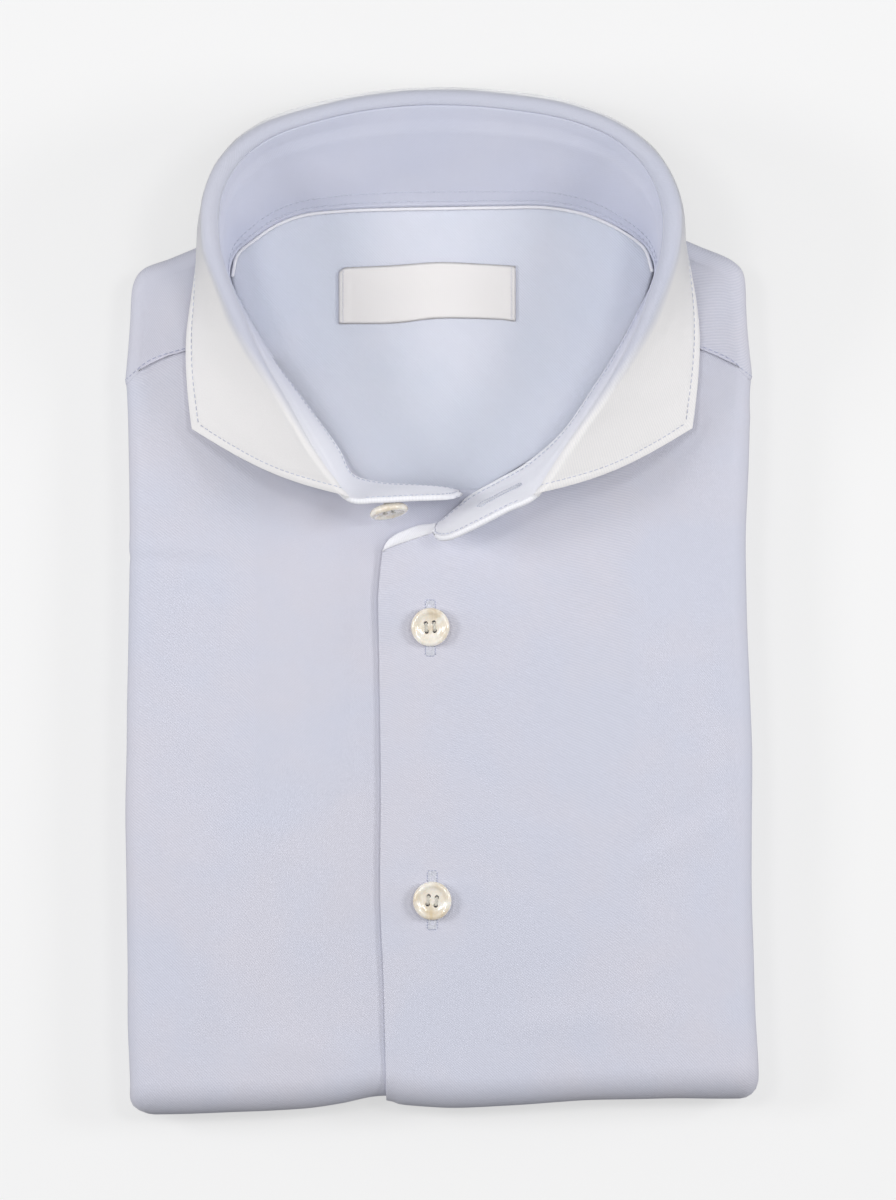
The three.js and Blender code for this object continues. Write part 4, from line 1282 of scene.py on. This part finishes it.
class ButtonMaker:
    """Turns one button from its profile, drills it, and sets copies of it."""

    def __init__(self, size: ButtonSize) -> None:
        self.size = size
        self.master = self._turned()
        self._drill(self.master)

    def _turned(self) -> bpy.types.Object:
        """Spins the button's profile into a closed disc, in millimetres."""
        r, t = self.size.radius, self.size.thick
        profile = [(0.0, 0.0), (2.6, 0.0), (4.3, 0.12), (5.1, 0.4), (5.62, 0.85), (5.9, 1.35),
                   (r, 1.75), (5.93, 2.15), (5.7, 2.5), (5.35, 2.72), (4.95, t), (4.6, 2.74),
                   (4.3, 2.56), (3.95, 2.3), (3.4, 2.12), (2.6, 2.04), (1.4, 2.0), (0.0, 2.0)]
        mesh = bpy.data.meshes.new("button_master")
        edges = [(k, k + 1) for k in range(len(profile) - 1)]
        mesh.from_pydata([(x, 0.0, z) for x, z in profile], edges, [])
        disc = new_object("button_master", mesh)
        only(disc)
        bpy.ops.object.mode_set(mode="EDIT")
        bpy.ops.mesh.select_all(action="SELECT")
        bpy.ops.mesh.spin(steps=56, angle=2 * math.pi, center=(0, 0, 0), axis=(0, 0, 1))
        bpy.ops.mesh.select_all(action="SELECT")
        bpy.ops.mesh.remove_doubles(threshold=0.0005)
        bpy.ops.mesh.normals_make_consistent(inside=False)
        bpy.ops.object.mode_set(mode="OBJECT")
        return disc

    def _drill(self, disc: bpy.types.Object) -> None:
        """Drills the four holes and softens their rims."""
        for k in range(4):
            angle = math.pi / 4 + k * math.pi / 2
            bpy.ops.object.select_all(action="DESELECT")
            bpy.ops.mesh.primitive_cylinder_add(
                vertices=20, radius=self.size.hole, depth=9,
                location=(self.size.ring * math.cos(angle), self.size.ring * math.sin(angle), 1.2))
            drill = bpy.context.object
            only(disc)
            cut = disc.modifiers.new("hole", "BOOLEAN")
            cut.operation, cut.solver, cut.object = "DIFFERENCE", "EXACT", drill
            bpy.ops.object.modifier_apply(modifier=cut.name)
            bpy.data.objects.remove(drill, do_unlink=True)
        only(disc)
        soft = disc.modifiers.new("soften", "BEVEL")
        soft.width, soft.segments = 0.1, 2
        soft.limit_method, soft.angle_limit = "ANGLE", math.radians(50)
        bpy.ops.object.modifier_apply(modifier=soft.name)
        bpy.ops.object.shade_smooth_by_angle(angle=math.radians(38))

    def set(self, name: str, placing: Placing) -> bpy.types.Object:
        """Places a copy of the button with its own mesh."""
        mesh = self.master.data.copy()
        mesh.name = name
        mesh.transform(Matrix.Scale(MM, 4) @ placing.matrix())
        return new_object(name, mesh)

    def thread(self, sewing: Sewing, placing: Placing, shank: float) -> None:
        """Sews the button on: strands between the pairs of holes, and its wound shank."""
        matrix, ring = placing.matrix(), self.size.ring
        up = np.array(matrix.to_3x3() @ Vector((0, 0, 1)))
        across = np.array(matrix.to_3x3() @ Vector((1, 0, 0)))
        reach = ring * math.sin(math.pi / 4)
        for side in (-1, 1):
            for strand in (-1, 0, 1):
                shift = strand * 0.3
                ends = [matrix @ Vector((side * reach + shift, end * (reach + 0.05), 1.85))
                        for end in (-1, 1)]
                lift = up * (0.28 - 0.12 * abs(strand))
                sewing.stitch(np.array(ends[0]) + lift, np.array(ends[1]) + lift, up)
                for place in ends:
                    sewing.stitch(np.array(place) + up * 0.15, np.array(place) - up * 1.7, across)
        turns = max(int(shank / 0.3), 1)
        for turn in range(turns):
            level = -0.05 - turn * 0.3
            for k in range(8):
                ends = [matrix @ Vector((1.0 * math.cos(a), 1.0 * math.sin(a), level))
                        for a in (math.pi * k / 4, math.pi * (k + 1.15) / 4)]
                out = np.array(matrix.to_3x3() @ Vector((math.cos(math.pi * k / 4 + 0.4),
                                                        math.sin(math.pi * k / 4 + 0.4), 0)))
                sewing.stitch(np.array(ends[0]), np.array(ends[1]), out)


def work_buttonhole(sewing: Sewing, outline: Sewing, run: Run, half: float) -> None:
    """Works a buttonhole's satin stitches down both sides of a slit, and its two bars.

    Args:
        sewing: The mesh that the stitches go into.
        outline: The mesh for the row of small stitches round them.
        run: The slit's line on the cloth.
        half: Half the buttonhole's width.
    """
    ends = run.even(1.0)
    way = np.gradient(ends.points, axis=0)
    sides = np.cross(ends.normals, way)
    sides /= np.linalg.norm(sides, axis=1, keepdims=True)
    way /= np.linalg.norm(way, axis=1, keepdims=True)
    for side in (-1, 1):
        outline.row(Run(ends.points + sides * side * (half + 0.12), ends.normals), 0.8, 0.86)
    for k, out in ((0, -1), (-1, 1)):
        corners = [ends.points[k] + sides[k] * side * half + way[k] * out * 0.3 for side in (-1, 1)]
        outline.row(Run(np.array(corners), np.array([ends.normals[k]] * 2)), 0.8, 0.86)
    even = run.even(0.36)
    count = len(even.points)
    for k in range(count):
        ahead = even.points[min(k + 1, count - 1)] - even.points[max(k - 1, 0)]
        up = even.normals[k] / np.linalg.norm(even.normals[k])
        across = np.cross(up, ahead / np.linalg.norm(ahead))
        place = even.points[k] + up * 0.02
        if 3 < k < count - 4:
            for side in (-1, 1):
                sewing.stitch(place + across * side * 0.3, place + across * side * half, up, 5)
        else:
            sewing.stitch(place - across * (half + 0.15), place + across * (half + 0.15), up, 5)


def linear(code: str) -> tuple[float, float, float, float]:
    """Turns an sRGB hex colour into linear values."""
    parts = [int(code[k : k + 2], 16) / 255 for k in (1, 3, 5)]
    return (*(c / 12.92 if c <= 0.04045 else ((c + 0.055) / 1.055) ** 2.4 for c in parts), 1.0)


class Wiring:
    """Adds nodes to one material, with their settings and their links."""

    def __init__(self, name: str) -> None:
        self.material = bpy.data.materials.new(name)
        self.material.use_nodes = True
        self.tree = self.material.node_tree
        self.tree.nodes.clear()

    def add(self, kind: str, inputs: dict | None = None, **settings: object) -> bpy.types.Node:
        """Adds a node.

        Args:
            kind: The node's type, without its ShaderNode prefix.
            inputs: For each input, by name or number, an output to link or a plain value.
            **settings: Attributes of the node.

        Returns:
            The new node.
        """
        node = self.tree.nodes.new("ShaderNode" + kind)
        for key, value in settings.items():
            setattr(node, key, value)
        for key, value in (inputs or {}).items():
            if isinstance(value, bpy.types.NodeSocket):
                self.tree.links.new(value, node.inputs[key])
            else:
                node.inputs[key].default_value = value
        return node

    def math(self, operation: str, a: object, b: object = 0.0) -> bpy.types.NodeSocket:
        """Adds a sum of two values and returns its output."""
        return self.add("Math", {0: a, 1: b}, operation=operation).outputs[0]

    def ramp(self, value: object, low: float, high: float, first: float = 0.0,
             last: float = 1.0) -> bpy.types.NodeSocket:
        """Maps a value from low..high to first..last and returns the output."""
        return self.add("MapRange", {0: value, 1: low, 2: high, 3: first, 4: last}).outputs[0]

    def ripple(self, along: object, pitch: float) -> bpy.types.NodeSocket:
        """Returns a sine wave along a value, with its pitch in metres."""
        return self.math("SINE", self.math("MULTIPLY", along, 2 * math.pi / pitch))

    def place(self) -> bpy.types.NodeSocket:
        """Returns the place in the object's own space."""
        return self.add("TexCoord").outputs["Object"]

    def blend(self, part: object, a: object, b: object, kind: str = "MIX") -> bpy.types.NodeSocket:
        """Mixes two colours and returns the output."""
        return self.add("MixRGB", {0: part, 1: a, 2: b}, blend_type=kind).outputs[0]

    def finish(self, inputs: dict) -> bpy.types.Material:
        """Ends the tree with a Principled surface."""
        surface = self.add("BsdfPrincipled", inputs)
        self.add("OutputMaterial", {0: surface.outputs[0]})
        return self.material


@dataclass(frozen=True)
class TwillCloth:
    """Fine cotton twill, woven in two pale threads and pressed flat.

    The broad mottling is the photograph's slight shift between blue and lilac. The diagonal
    lines are the twill, 0.64 mm apart, and the short dashes across them its threads. Sheen
    gives the pale edge of fibres at a glancing angle. Towards the front of the collar, and past
    the leaf's roll, a painted highlight turns the cloth a warm white. It stands in for the light
    on the lit faces of the leaf and the tabs.
    """

    name: str
    warm: str
    cool: str
    line: str
    lines: float = 0.24
    pitch: float = 0.00064
    bump: float = 0.00007
    sheen: float = 0.25
    # The painted highlight: its near-white colour, the two places up the shirt (y, in metres) over which
    # it fades in, and how far past the leaf's roll it starts
    pale: str = ""
    painted_highlight_from: float = 0.0
    painted_highlight_to: float = 0.0
    painted_highlight_past: float = -1.0

    def make(self) -> bpy.types.Material:
        """Builds the material."""
        w = Wiring(self.name)
        place = w.place()
        flat = w.add("UVMap", uv_map="cloth").outputs[0]
        axes = w.add("SeparateXYZ", {0: flat})
        broad = w.add("TexNoise", {"Vector": place, "Scale": 26.0, "Detail": 3.0, "Roughness": 0.55})
        fibre = w.add("TexNoise", {"Vector": place, "Scale": 2600.0, "Detail": 2.0})
        drift = w.math("MULTIPLY", w.add("TexNoise", {"Vector": flat, "Scale": 420.0}).outputs[0], 0.7)
        diagonal = w.math("MULTIPLY", w.math("SUBTRACT", axes.outputs[0], axes.outputs[1]),
                          2 * math.pi / (self.pitch * math.sqrt(2)))
        twill = w.math("SINE", w.math("ADD", diagonal, drift))
        threads = w.ripple(w.math("ADD", axes.outputs[0], axes.outputs[1]), 0.00034)
        weave = w.math("ADD", w.math("MULTIPLY", twill, 0.5), w.math("MULTIPLY", threads, 0.16))
        tone = w.ramp(broad.outputs[0], 0.38, 0.62)
        ground = w.blend(tone, linear(self.warm), linear(self.cool))
        # Painted highlight: near the front of the collar, and on the leaf past its roll, the colour is
        # mixed towards near white to stand in for the light on those lit faces. Towards the front, the
        # roll limit is eased inwards.
        if self.pale:
            upward = w.add("SeparateXYZ", {0: place}).outputs[1]
            front = w.ramp(upward, self.painted_highlight_from, self.painted_highlight_to)
            near = w.math("MULTIPLY", w.math("MAXIMUM", w.math("SUBTRACT", 0.085, upward), 0.0), 0.25)
            past = w.ramp(w.math("ADD", axes.outputs[0], near), self.painted_highlight_past, self.painted_highlight_past + 0.006)
            ground = w.blend(w.math("MULTIPLY", front, past), ground, linear(self.pale))
        low = w.ramp(weave, 0.55, -0.6, 0.0, self.lines)
        colour = w.blend(low, ground, linear(self.line))
        colour = w.blend(0.12, colour, w.ramp(fibre.outputs[0], 0.3, 0.7, 0.8, 1.05), "MULTIPLY")
        height = w.math("ADD", weave, w.math("MULTIPLY", fibre.outputs[0], 0.9))
        bump = w.add("Bump", {"Height": height, "Strength": 0.45, "Distance": self.bump})
        rough = w.ramp(fibre.outputs[0], 0.3, 0.7, 0.78, 0.92)
        return w.finish({"Base Color": colour, "Roughness": rough,
                         "Normal": bump.outputs[0], "Sheen Weight": self.sheen,
                         "Sheen Roughness": 0.45, "IOR": 1.4, "Specular IOR Level": 0.25})


@dataclass(frozen=True)
class CottonThread:
    """Mercerised sewing cotton: a twisted thread with a soft gloss along its turns."""

    name: str
    tone: str
    shade: str
    scale: float = 3200.0
    rough: float = 0.55

    def make(self) -> bpy.types.Material:
        """Builds the material."""
        w = Wiring(self.name)
        place = w.place()
        turns = w.add("TexWave", {"Vector": place, "Scale": self.scale, "Distortion": 2.5, "Detail": 2.0},
                      bands_direction="DIAGONAL")
        patch = w.add("TexNoise", {"Vector": place, "Scale": 240.0, "Detail": 2.0})
        part = w.math("MULTIPLY", turns.outputs[1], 0.55)
        colour = w.blend(part, linear(self.tone), linear(self.shade))
        colour = w.blend(w.math("MULTIPLY", patch.outputs[0], 0.3), colour, linear(self.shade))
        bump = w.add("Bump", {"Height": turns.outputs[1], "Strength": 0.5, "Distance": 0.00004})
        return w.finish({"Base Color": colour, "Roughness": self.rough, "Normal": bump.outputs[0],
                         "Sheen Weight": 0.2, "Sheen Roughness": 0.5})


@dataclass(frozen=True)
class LabelSatin:
    """Damask-woven polyester label tape: fine ribs across it and a silky sheen."""

    name: str = "label_satin_weave"
    ground: str = "#EFECEA"
    shade: str = "#D9D6D8"

    def make(self) -> bpy.types.Material:
        """Builds the material."""
        w = Wiring(self.name)
        flat = w.add("UVMap", uv_map="cloth").outputs[0]
        axes = w.add("SeparateXYZ", {0: flat})
        ribs, floats = w.ripple(axes.outputs[1], 0.00033), w.ripple(axes.outputs[0], 0.0006)
        cloud = w.add("TexNoise", {"Vector": w.place(), "Scale": 60.0, "Detail": 3.0})
        weave = w.math("ADD", w.math("MULTIPLY", ribs, 0.5), w.math("MULTIPLY", floats, 0.25))
        part = w.ramp(weave, 0.3, -0.75, 0.0, 0.35)
        colour = w.blend(part, linear(self.ground), linear(self.shade))
        colour = w.blend(w.math("MULTIPLY", cloud.outputs[0], 0.2), colour, linear("#E9E4DA"))
        bump = w.add("Bump", {"Height": weave, "Strength": 0.35, "Distance": 0.00004})
        return w.finish({"Base Color": colour, "Roughness": 0.5, "Normal": bump.outputs[0],
                         "Sheen Weight": 0.3, "Sheen Roughness": 0.3, "Anisotropic": 0.4})


@dataclass(frozen=True)
class PearlButton:
    """Polished trocas shell: cloudy cream bands under a clear, glossy face."""

    name: str = "pearl_shell"
    light: str = "#F9F4EA"
    band: str = "#DCCAAB"
    cool: str = "#EDE9E0"

    def make(self) -> bpy.types.Material:
        """Builds the material."""
        w = Wiring(self.name)
        place = w.place()
        cloud = w.add("TexNoise", {"Vector": place, "Scale": 120.0, "Detail": 2.0, "Roughness": 0.4,
                                   "Distortion": 1.2})
        grain = w.add("TexWave", {"Vector": place, "Scale": 190.0, "Distortion": 9.0, "Detail": 2.0,
                                  "Detail Scale": 1.2})
        tone = w.ramp(cloud.outputs[0], 0.4, 0.7)
        colour = w.blend(tone, linear(self.light), linear(self.band))
        colour = w.blend(w.math("MULTIPLY", grain.outputs[1], 0.2), colour, linear(self.cool))
        rough = w.ramp(grain.outputs[1], 0.0, 1.0, 0.16, 0.3)
        bump = w.add("Bump", {"Height": cloud.outputs[0], "Strength": 0.12, "Distance": 0.0002})
        return w.finish({"Base Color": colour, "Roughness": rough, "Normal": bump.outputs[0],
                         "Coat Weight": 0.7, "Coat Roughness": 0.08, "Subsurface Weight": 0.15,
                         "Subsurface Radius": (0.001, 0.0008, 0.0006), "IOR": 1.55})


class Looks(Enum):
    """The shirt's finishes."""

    BODY = TwillCloth("body_twill", "#D9D8E2", "#D5D7E4", "#B4B7CB", lines=0.32)
    # INSIDE is a lighter, bluer copy of the body twill. Its extra lightness is painted light, brightening
    # the inside of the neck and the layers' edges, which lie in shade
    INSIDE = TwillCloth("inside_twill", "#E0E2EC", "#DCE0EB", "#BCC1D5")
    # The collar's and the stand's pale colours are painted highlights: near white on the collar's front,
    # the leaf past its roll, the tabs and the placket facing, standing in for the light on their lit
    # faces
    COLLAR = TwillCloth("collar_twill", "#CCCEDB", "#C8CBDA", "#BEC0CF", lines=0.16, sheen=1.0,
                        pale="#F5F3F2", painted_highlight_from=0.122, painted_highlight_to=0.098, painted_highlight_past=0.006)
    STAND = TwillCloth("stand_twill", "#D3D5E3", "#CFD2E2", "#B6BACE", lines=0.12,
                       bump=0.00003, pale="#FAFAFE", painted_highlight_from=0.09, painted_highlight_to=0.05)
    THREAD = CottonThread("seam_thread", "#C3C7DA", "#A2A8C2")
    COLLAR_THREAD = CottonThread("collar_thread", "#D3D6E3", "#B6BBCF")
    HOLE_THREAD = CottonThread("buttonhole_thread", "#F1F2F7", "#D2D6E2")
    BUTTON_THREAD = CottonThread("button_thread", "#E9E6DD", "#BDB8AA")
    PIPING = CottonThread("piping_cotton", "#F6F5F6", "#DFDFE6", scale=900.0, rough=0.75)
    LABEL = LabelSatin()
    LABEL_THREAD = CottonThread("label_thread", "#E4E3E8", "#B9B9C8")
    PEARL = PearlButton()


@dataclass(frozen=True)
class Studio:
    """The photograph's surroundings: a pale sheet, soft light all round, a camera overhead."""

    floor_glow: float = 0.58
    distance: float = 1.5
    lens: float = 142.74
    centre: tuple[float, float] = (0.00208, 0.00046)

    def floor(self) -> None:
        """Lays the pale sheet under the shirt."""
        bpy.ops.object.select_all(action="DESELECT")
        bpy.ops.mesh.primitive_plane_add(size=6.0, location=(0, 0, -0.0002))
        sheet = bpy.context.object
        sheet.name = "studio_floor"
        w = Wiring("studio_paper")
        grain = w.add("TexNoise", {"Vector": w.place(), "Scale": 900.0})
        seen = w.math("MULTIPLY", w.add("LightPath").outputs["Is Camera Ray"], self.floor_glow)
        tone = w.blend(w.math("MULTIPLY", grain.outputs[0], 0.04), linear("#9C9C9C"), linear("#8A8A8A"))
        sheet.data.materials.append(w.finish({
            "Base Color": tone, "Roughness": 0.95, "Specular IOR Level": 0.1,
            "Emission Color": linear("#FFFFFF"), "Emission Strength": seen}))

    @staticmethod
    def lamp(name: str, place: tuple, size: tuple, power: float) -> None:
        """Hangs a soft rectangular white lamp that looks at the shirt."""
        data = bpy.data.lights.new(name, "AREA")
        data.shape, data.size, data.size_y = "RECTANGLE", *size
        data.energy = power
        lamp = bpy.data.objects.new(name, data)
        bpy.context.scene.collection.objects.link(lamp)
        lamp.location = place
        lamp.rotation_euler = Vector(place).to_track_quat("Z", "Y").to_euler()

    def light(self) -> None:
        """Sets the lamps and the surrounding glow."""
        for name, side in (("left", -1), ("right", 1)):
            self.lamp(f"{name}_high_light", (side * 0.35, 0.15, 1.1), (0.2, 0.2), 1.92)
            self.lamp(f"{name}_side_light", (side * 0.75, 0.1, 0.62), (0.3, 0.25), 3.0)
            self.lamp(f"{name}_low_light", (side * 1.2, 0.1, 0.28), (0.4, 0.3), 1.9)
        world = bpy.data.worlds.new("studio_glow")
        world.use_nodes = True
        glow = world.node_tree.nodes["Background"]
        glow.inputs[0].default_value = linear("#FDFDFF")
        glow.inputs[1].default_value = 0.3
        bpy.context.scene.world = world

    def camera(self) -> None:
        """Hangs the camera straight above the shirt."""
        data = bpy.data.cameras.new("camera")
        data.sensor_fit, data.sensor_width, data.lens = "AUTO", 36.0, self.lens
        data.clip_start, data.clip_end = 0.05, 20.0
        camera = bpy.data.objects.new("camera", data)
        bpy.context.scene.collection.objects.link(camera)
        camera.location = (*self.centre, self.distance)
        bpy.context.scene.camera = camera

    def build(self) -> None:
        """Sets up the whole studio."""
        self.camera()
        self.floor()
        self.light()
        scene = bpy.context.scene
        scene.view_settings.view_transform = "Standard"
        scene.view_settings.look = "None"


@dataclass(frozen=True)
class Cut:
    """What a sheet was cut to: its width, length and area, in millimetres."""

    width: float
    length: float
    area: float
    held: str = "folded"
    rests_on: tuple[str, ...] = ()


CUTS = {
    "front_left_cloth": Cut(138, 480, 62600, rests_on=("folded_layers_cloth",)),
    "front_right_cloth": Cut(142, 480, 64250, rests_on=("front_left_cloth", "folded_layers_cloth")),
    "yoke_cloth": Cut(212, 80, 7530, rests_on=("folded_layers_cloth",)),
    "yoke_inside_cloth": Cut(134, 92, 9110, "laid", ("folded_layers_cloth",)),
    "collar_stand_cloth": Cut(420, 34, 12580, "folded", ("yoke_cloth", "front_left_cloth")),
    "collar_leaf_cloth": Cut(430, 46, 15600, "folded", ("collar_stand_cloth",)),
    "label_cloth": Cut(60, 18, 1073, "laid", ("yoke_inside_cloth",)),
}


class Shirt:
    """Builds every piece of the shirt, gives it its finish and hides the nodes it stands for."""

    def __init__(self) -> None:
        self.collar = Collar()
        self.label = Label()
        self.yoke = Yoke()
        self.left = Front("front_left_cloth", True)
        self.right = Front("front_right_cloth", False)
        self.finishes = {look: look.value.make() for look in Looks}

    def dress(self, piece: bpy.types.Object, look: Looks, slot: str, *nodes: str) -> bpy.types.Object:
        """Gives a piece its finish and its body, and hides the nodes it stands for."""
        piece.data.transform(Matrix.Translation((0, SHIFT_Y * MM, 0)))
        piece.data.materials.clear()
        piece.data.materials.append(self.finishes[look])
        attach(piece, "root")
        if nodes:
            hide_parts(*nodes)
        tris = sum(len(p.vertices) - 2 for p in piece.data.polygons)
        log.info("%s: %d triangles", piece.name, tris)
        return piece

    @staticmethod
    def declare(piece: bpy.types.Object, pieces: Sequence[bpy.types.Object] = ()) -> None:
        """Looks up the cut of a sheet, and does nothing more with it."""
        cut = CUTS[piece.name]
        list(cut.rests_on)

    def body(self) -> None:
        """Builds the fronts, the yoke and the layers inside."""
        self.dress(Layers().build(), Looks.INSIDE, "inside_twill", "folded_layers")
        # The facing wears the stand's finish, so it lies wholly in that finish's painted highlight and
        # shows near white
        facing = self.dress(Facing().build(), Looks.STAND, "twill")
        fronts = ((self.left, "front_left", []), (self.right, "front_right", [facing]))
        for front, node, more in fronts:
            self.declare(self.dress(front.build(), Looks.BODY, "twill", node), more)
        yoke = self.dress(self.yoke.build(), Looks.BODY, "twill", "yoke")
        seams = Sewing("yoke_stitches", 0.14)
        grid = self.yoke.grid()
        for side in ("left", "right"):
            seams.row(inset_run(grid, side, 1.55, 0.04, 0.75))
        self.declare(yoke, [self.dress(seams.build(), Looks.THREAD, "twill")])
        inside = self.dress(InsideYoke().build(), Looks.INSIDE, "inside_twill", "yoke_inside")
        self.declare(inside)

    def neck(self) -> None:
        """Builds the collar, the piping and the label."""
        stand, leaf = self.collar.stand(), self.collar.leaf()
        stand_cloth = shell("collar_stand_cloth", [with_borders(stand, 0.8),
                                                   self.collar.allowance(stand)], self.collar.stand_wall)
        leaf_cloth = shell("collar_leaf_cloth", [with_borders(leaf, 0.8)], self.collar.leaf_wall)
        self.dress(stand_cloth, Looks.STAND, "twill", "collar_stand")
        self.dress(leaf_cloth, Looks.COLLAR, "twill", "collar_fall")
        stitches = self.dress(self.collar.sew(leaf, stand).build(), Looks.COLLAR_THREAD, "twill")
        hole, rim = Sewing("collar_buttonhole", 0.13), Sewing("collar_buttonhole_outline", 0.1)
        work_buttonhole(hole, rim, self.tab_line(stand), 1.25)
        holes = [self.dress(hole.build(), Looks.HOLE_THREAD, "twill"),
                 self.dress(rim.build(), Looks.COLLAR_THREAD, "twill")]
        self.declare(stand_cloth, holes)
        self.declare(leaf_cloth, [stitches])
        self.dress(Piping().build(), Looks.PIPING, "white_piping", "neck_piping")
        label = self.dress(self.label.build(), Looks.LABEL, "label_satin", "label")
        ends = self.dress(self.label.sew(self.label.grid()).build(), Looks.LABEL_THREAD, "label_satin")
        self.declare(label, [ends])

    @staticmethod
    def tab_line(stand: Grid) -> Run:
        """Returns the line of the buttonhole across the right tab of the stand."""
        rows = stand.points.shape[0] - 1
        steps = rows / (len(COLLAR) + 9)
        normal = stand.normals()
        spots, ups = [], []
        for part in np.linspace(0, 1, 24):
            j = round(rows - mix(3.35, 4.7, part) * steps)
            i = round(mix(9.5, 9.0, part))
            spots.append(stand.points[j, i])
            ups.append(normal[j, i])
        return Run(np.array(spots), np.array(ups))

    def fastenings(self) -> None:
        """Builds the three buttons and the buttonholes of the front."""
        maker = ButtonMaker(ButtonSize())
        threads = Sewing("button_threads", 0.17)
        holes, rims = Sewing("front_buttonholes", 0.13), Sewing("front_buttonhole_outlines", 0.13)
        placings = [Placing(f"button_front_{n}", x, y, PACK.top(x, y) + 0.3, (0, 0, 1), spin)
                    for n, ((x, y), spin) in enumerate(zip(FRONT_BUTTONS, (0.1, -0.14)), 1)]
        placings.append(Placing("button_collar", -16.4, 29.0, 37.4, (0.2, -0.95, 0.22), 0.2))
        for placing, shank in zip(placings, (0.3, 0.3, 2.1)):
            piece = maker.set(placing.node + "_pearl", placing)
            self.dress(piece, Looks.PEARL, "pearl_button", placing.node)
            maker.thread(threads, placing, shank)
        for (x, _), (top, bottom) in zip(FRONT_BUTTONS, FRONT_SLITS):
            ys = np.linspace(top, bottom, 40)
            line = np.array([(x, y, PACK.top(x, y) + relief(x, y) * quiet(x, y)) for y in ys])
            work_buttonhole(holes, rims, Run(line, np.tile([0.0, 0.0, 1.0], (40, 1))), 1.4)
        self.dress(threads.build(), Looks.BUTTON_THREAD, "white_piping")
        self.dress(holes.build(), Looks.HOLE_THREAD, "twill")
        self.dress(rims.build(), Looks.THREAD, "twill")
        bpy.data.objects.remove(maker.master, do_unlink=True)


def main() -> None:
    """Builds the scene in the frame."""
    logging.basicConfig(level=logging.INFO, format="%(message)s")
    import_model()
    Studio().build()
    shirt = Shirt()
    shirt.body()
    shirt.neck()
    shirt.fastenings()


if __name__ == "__main__":
    main()
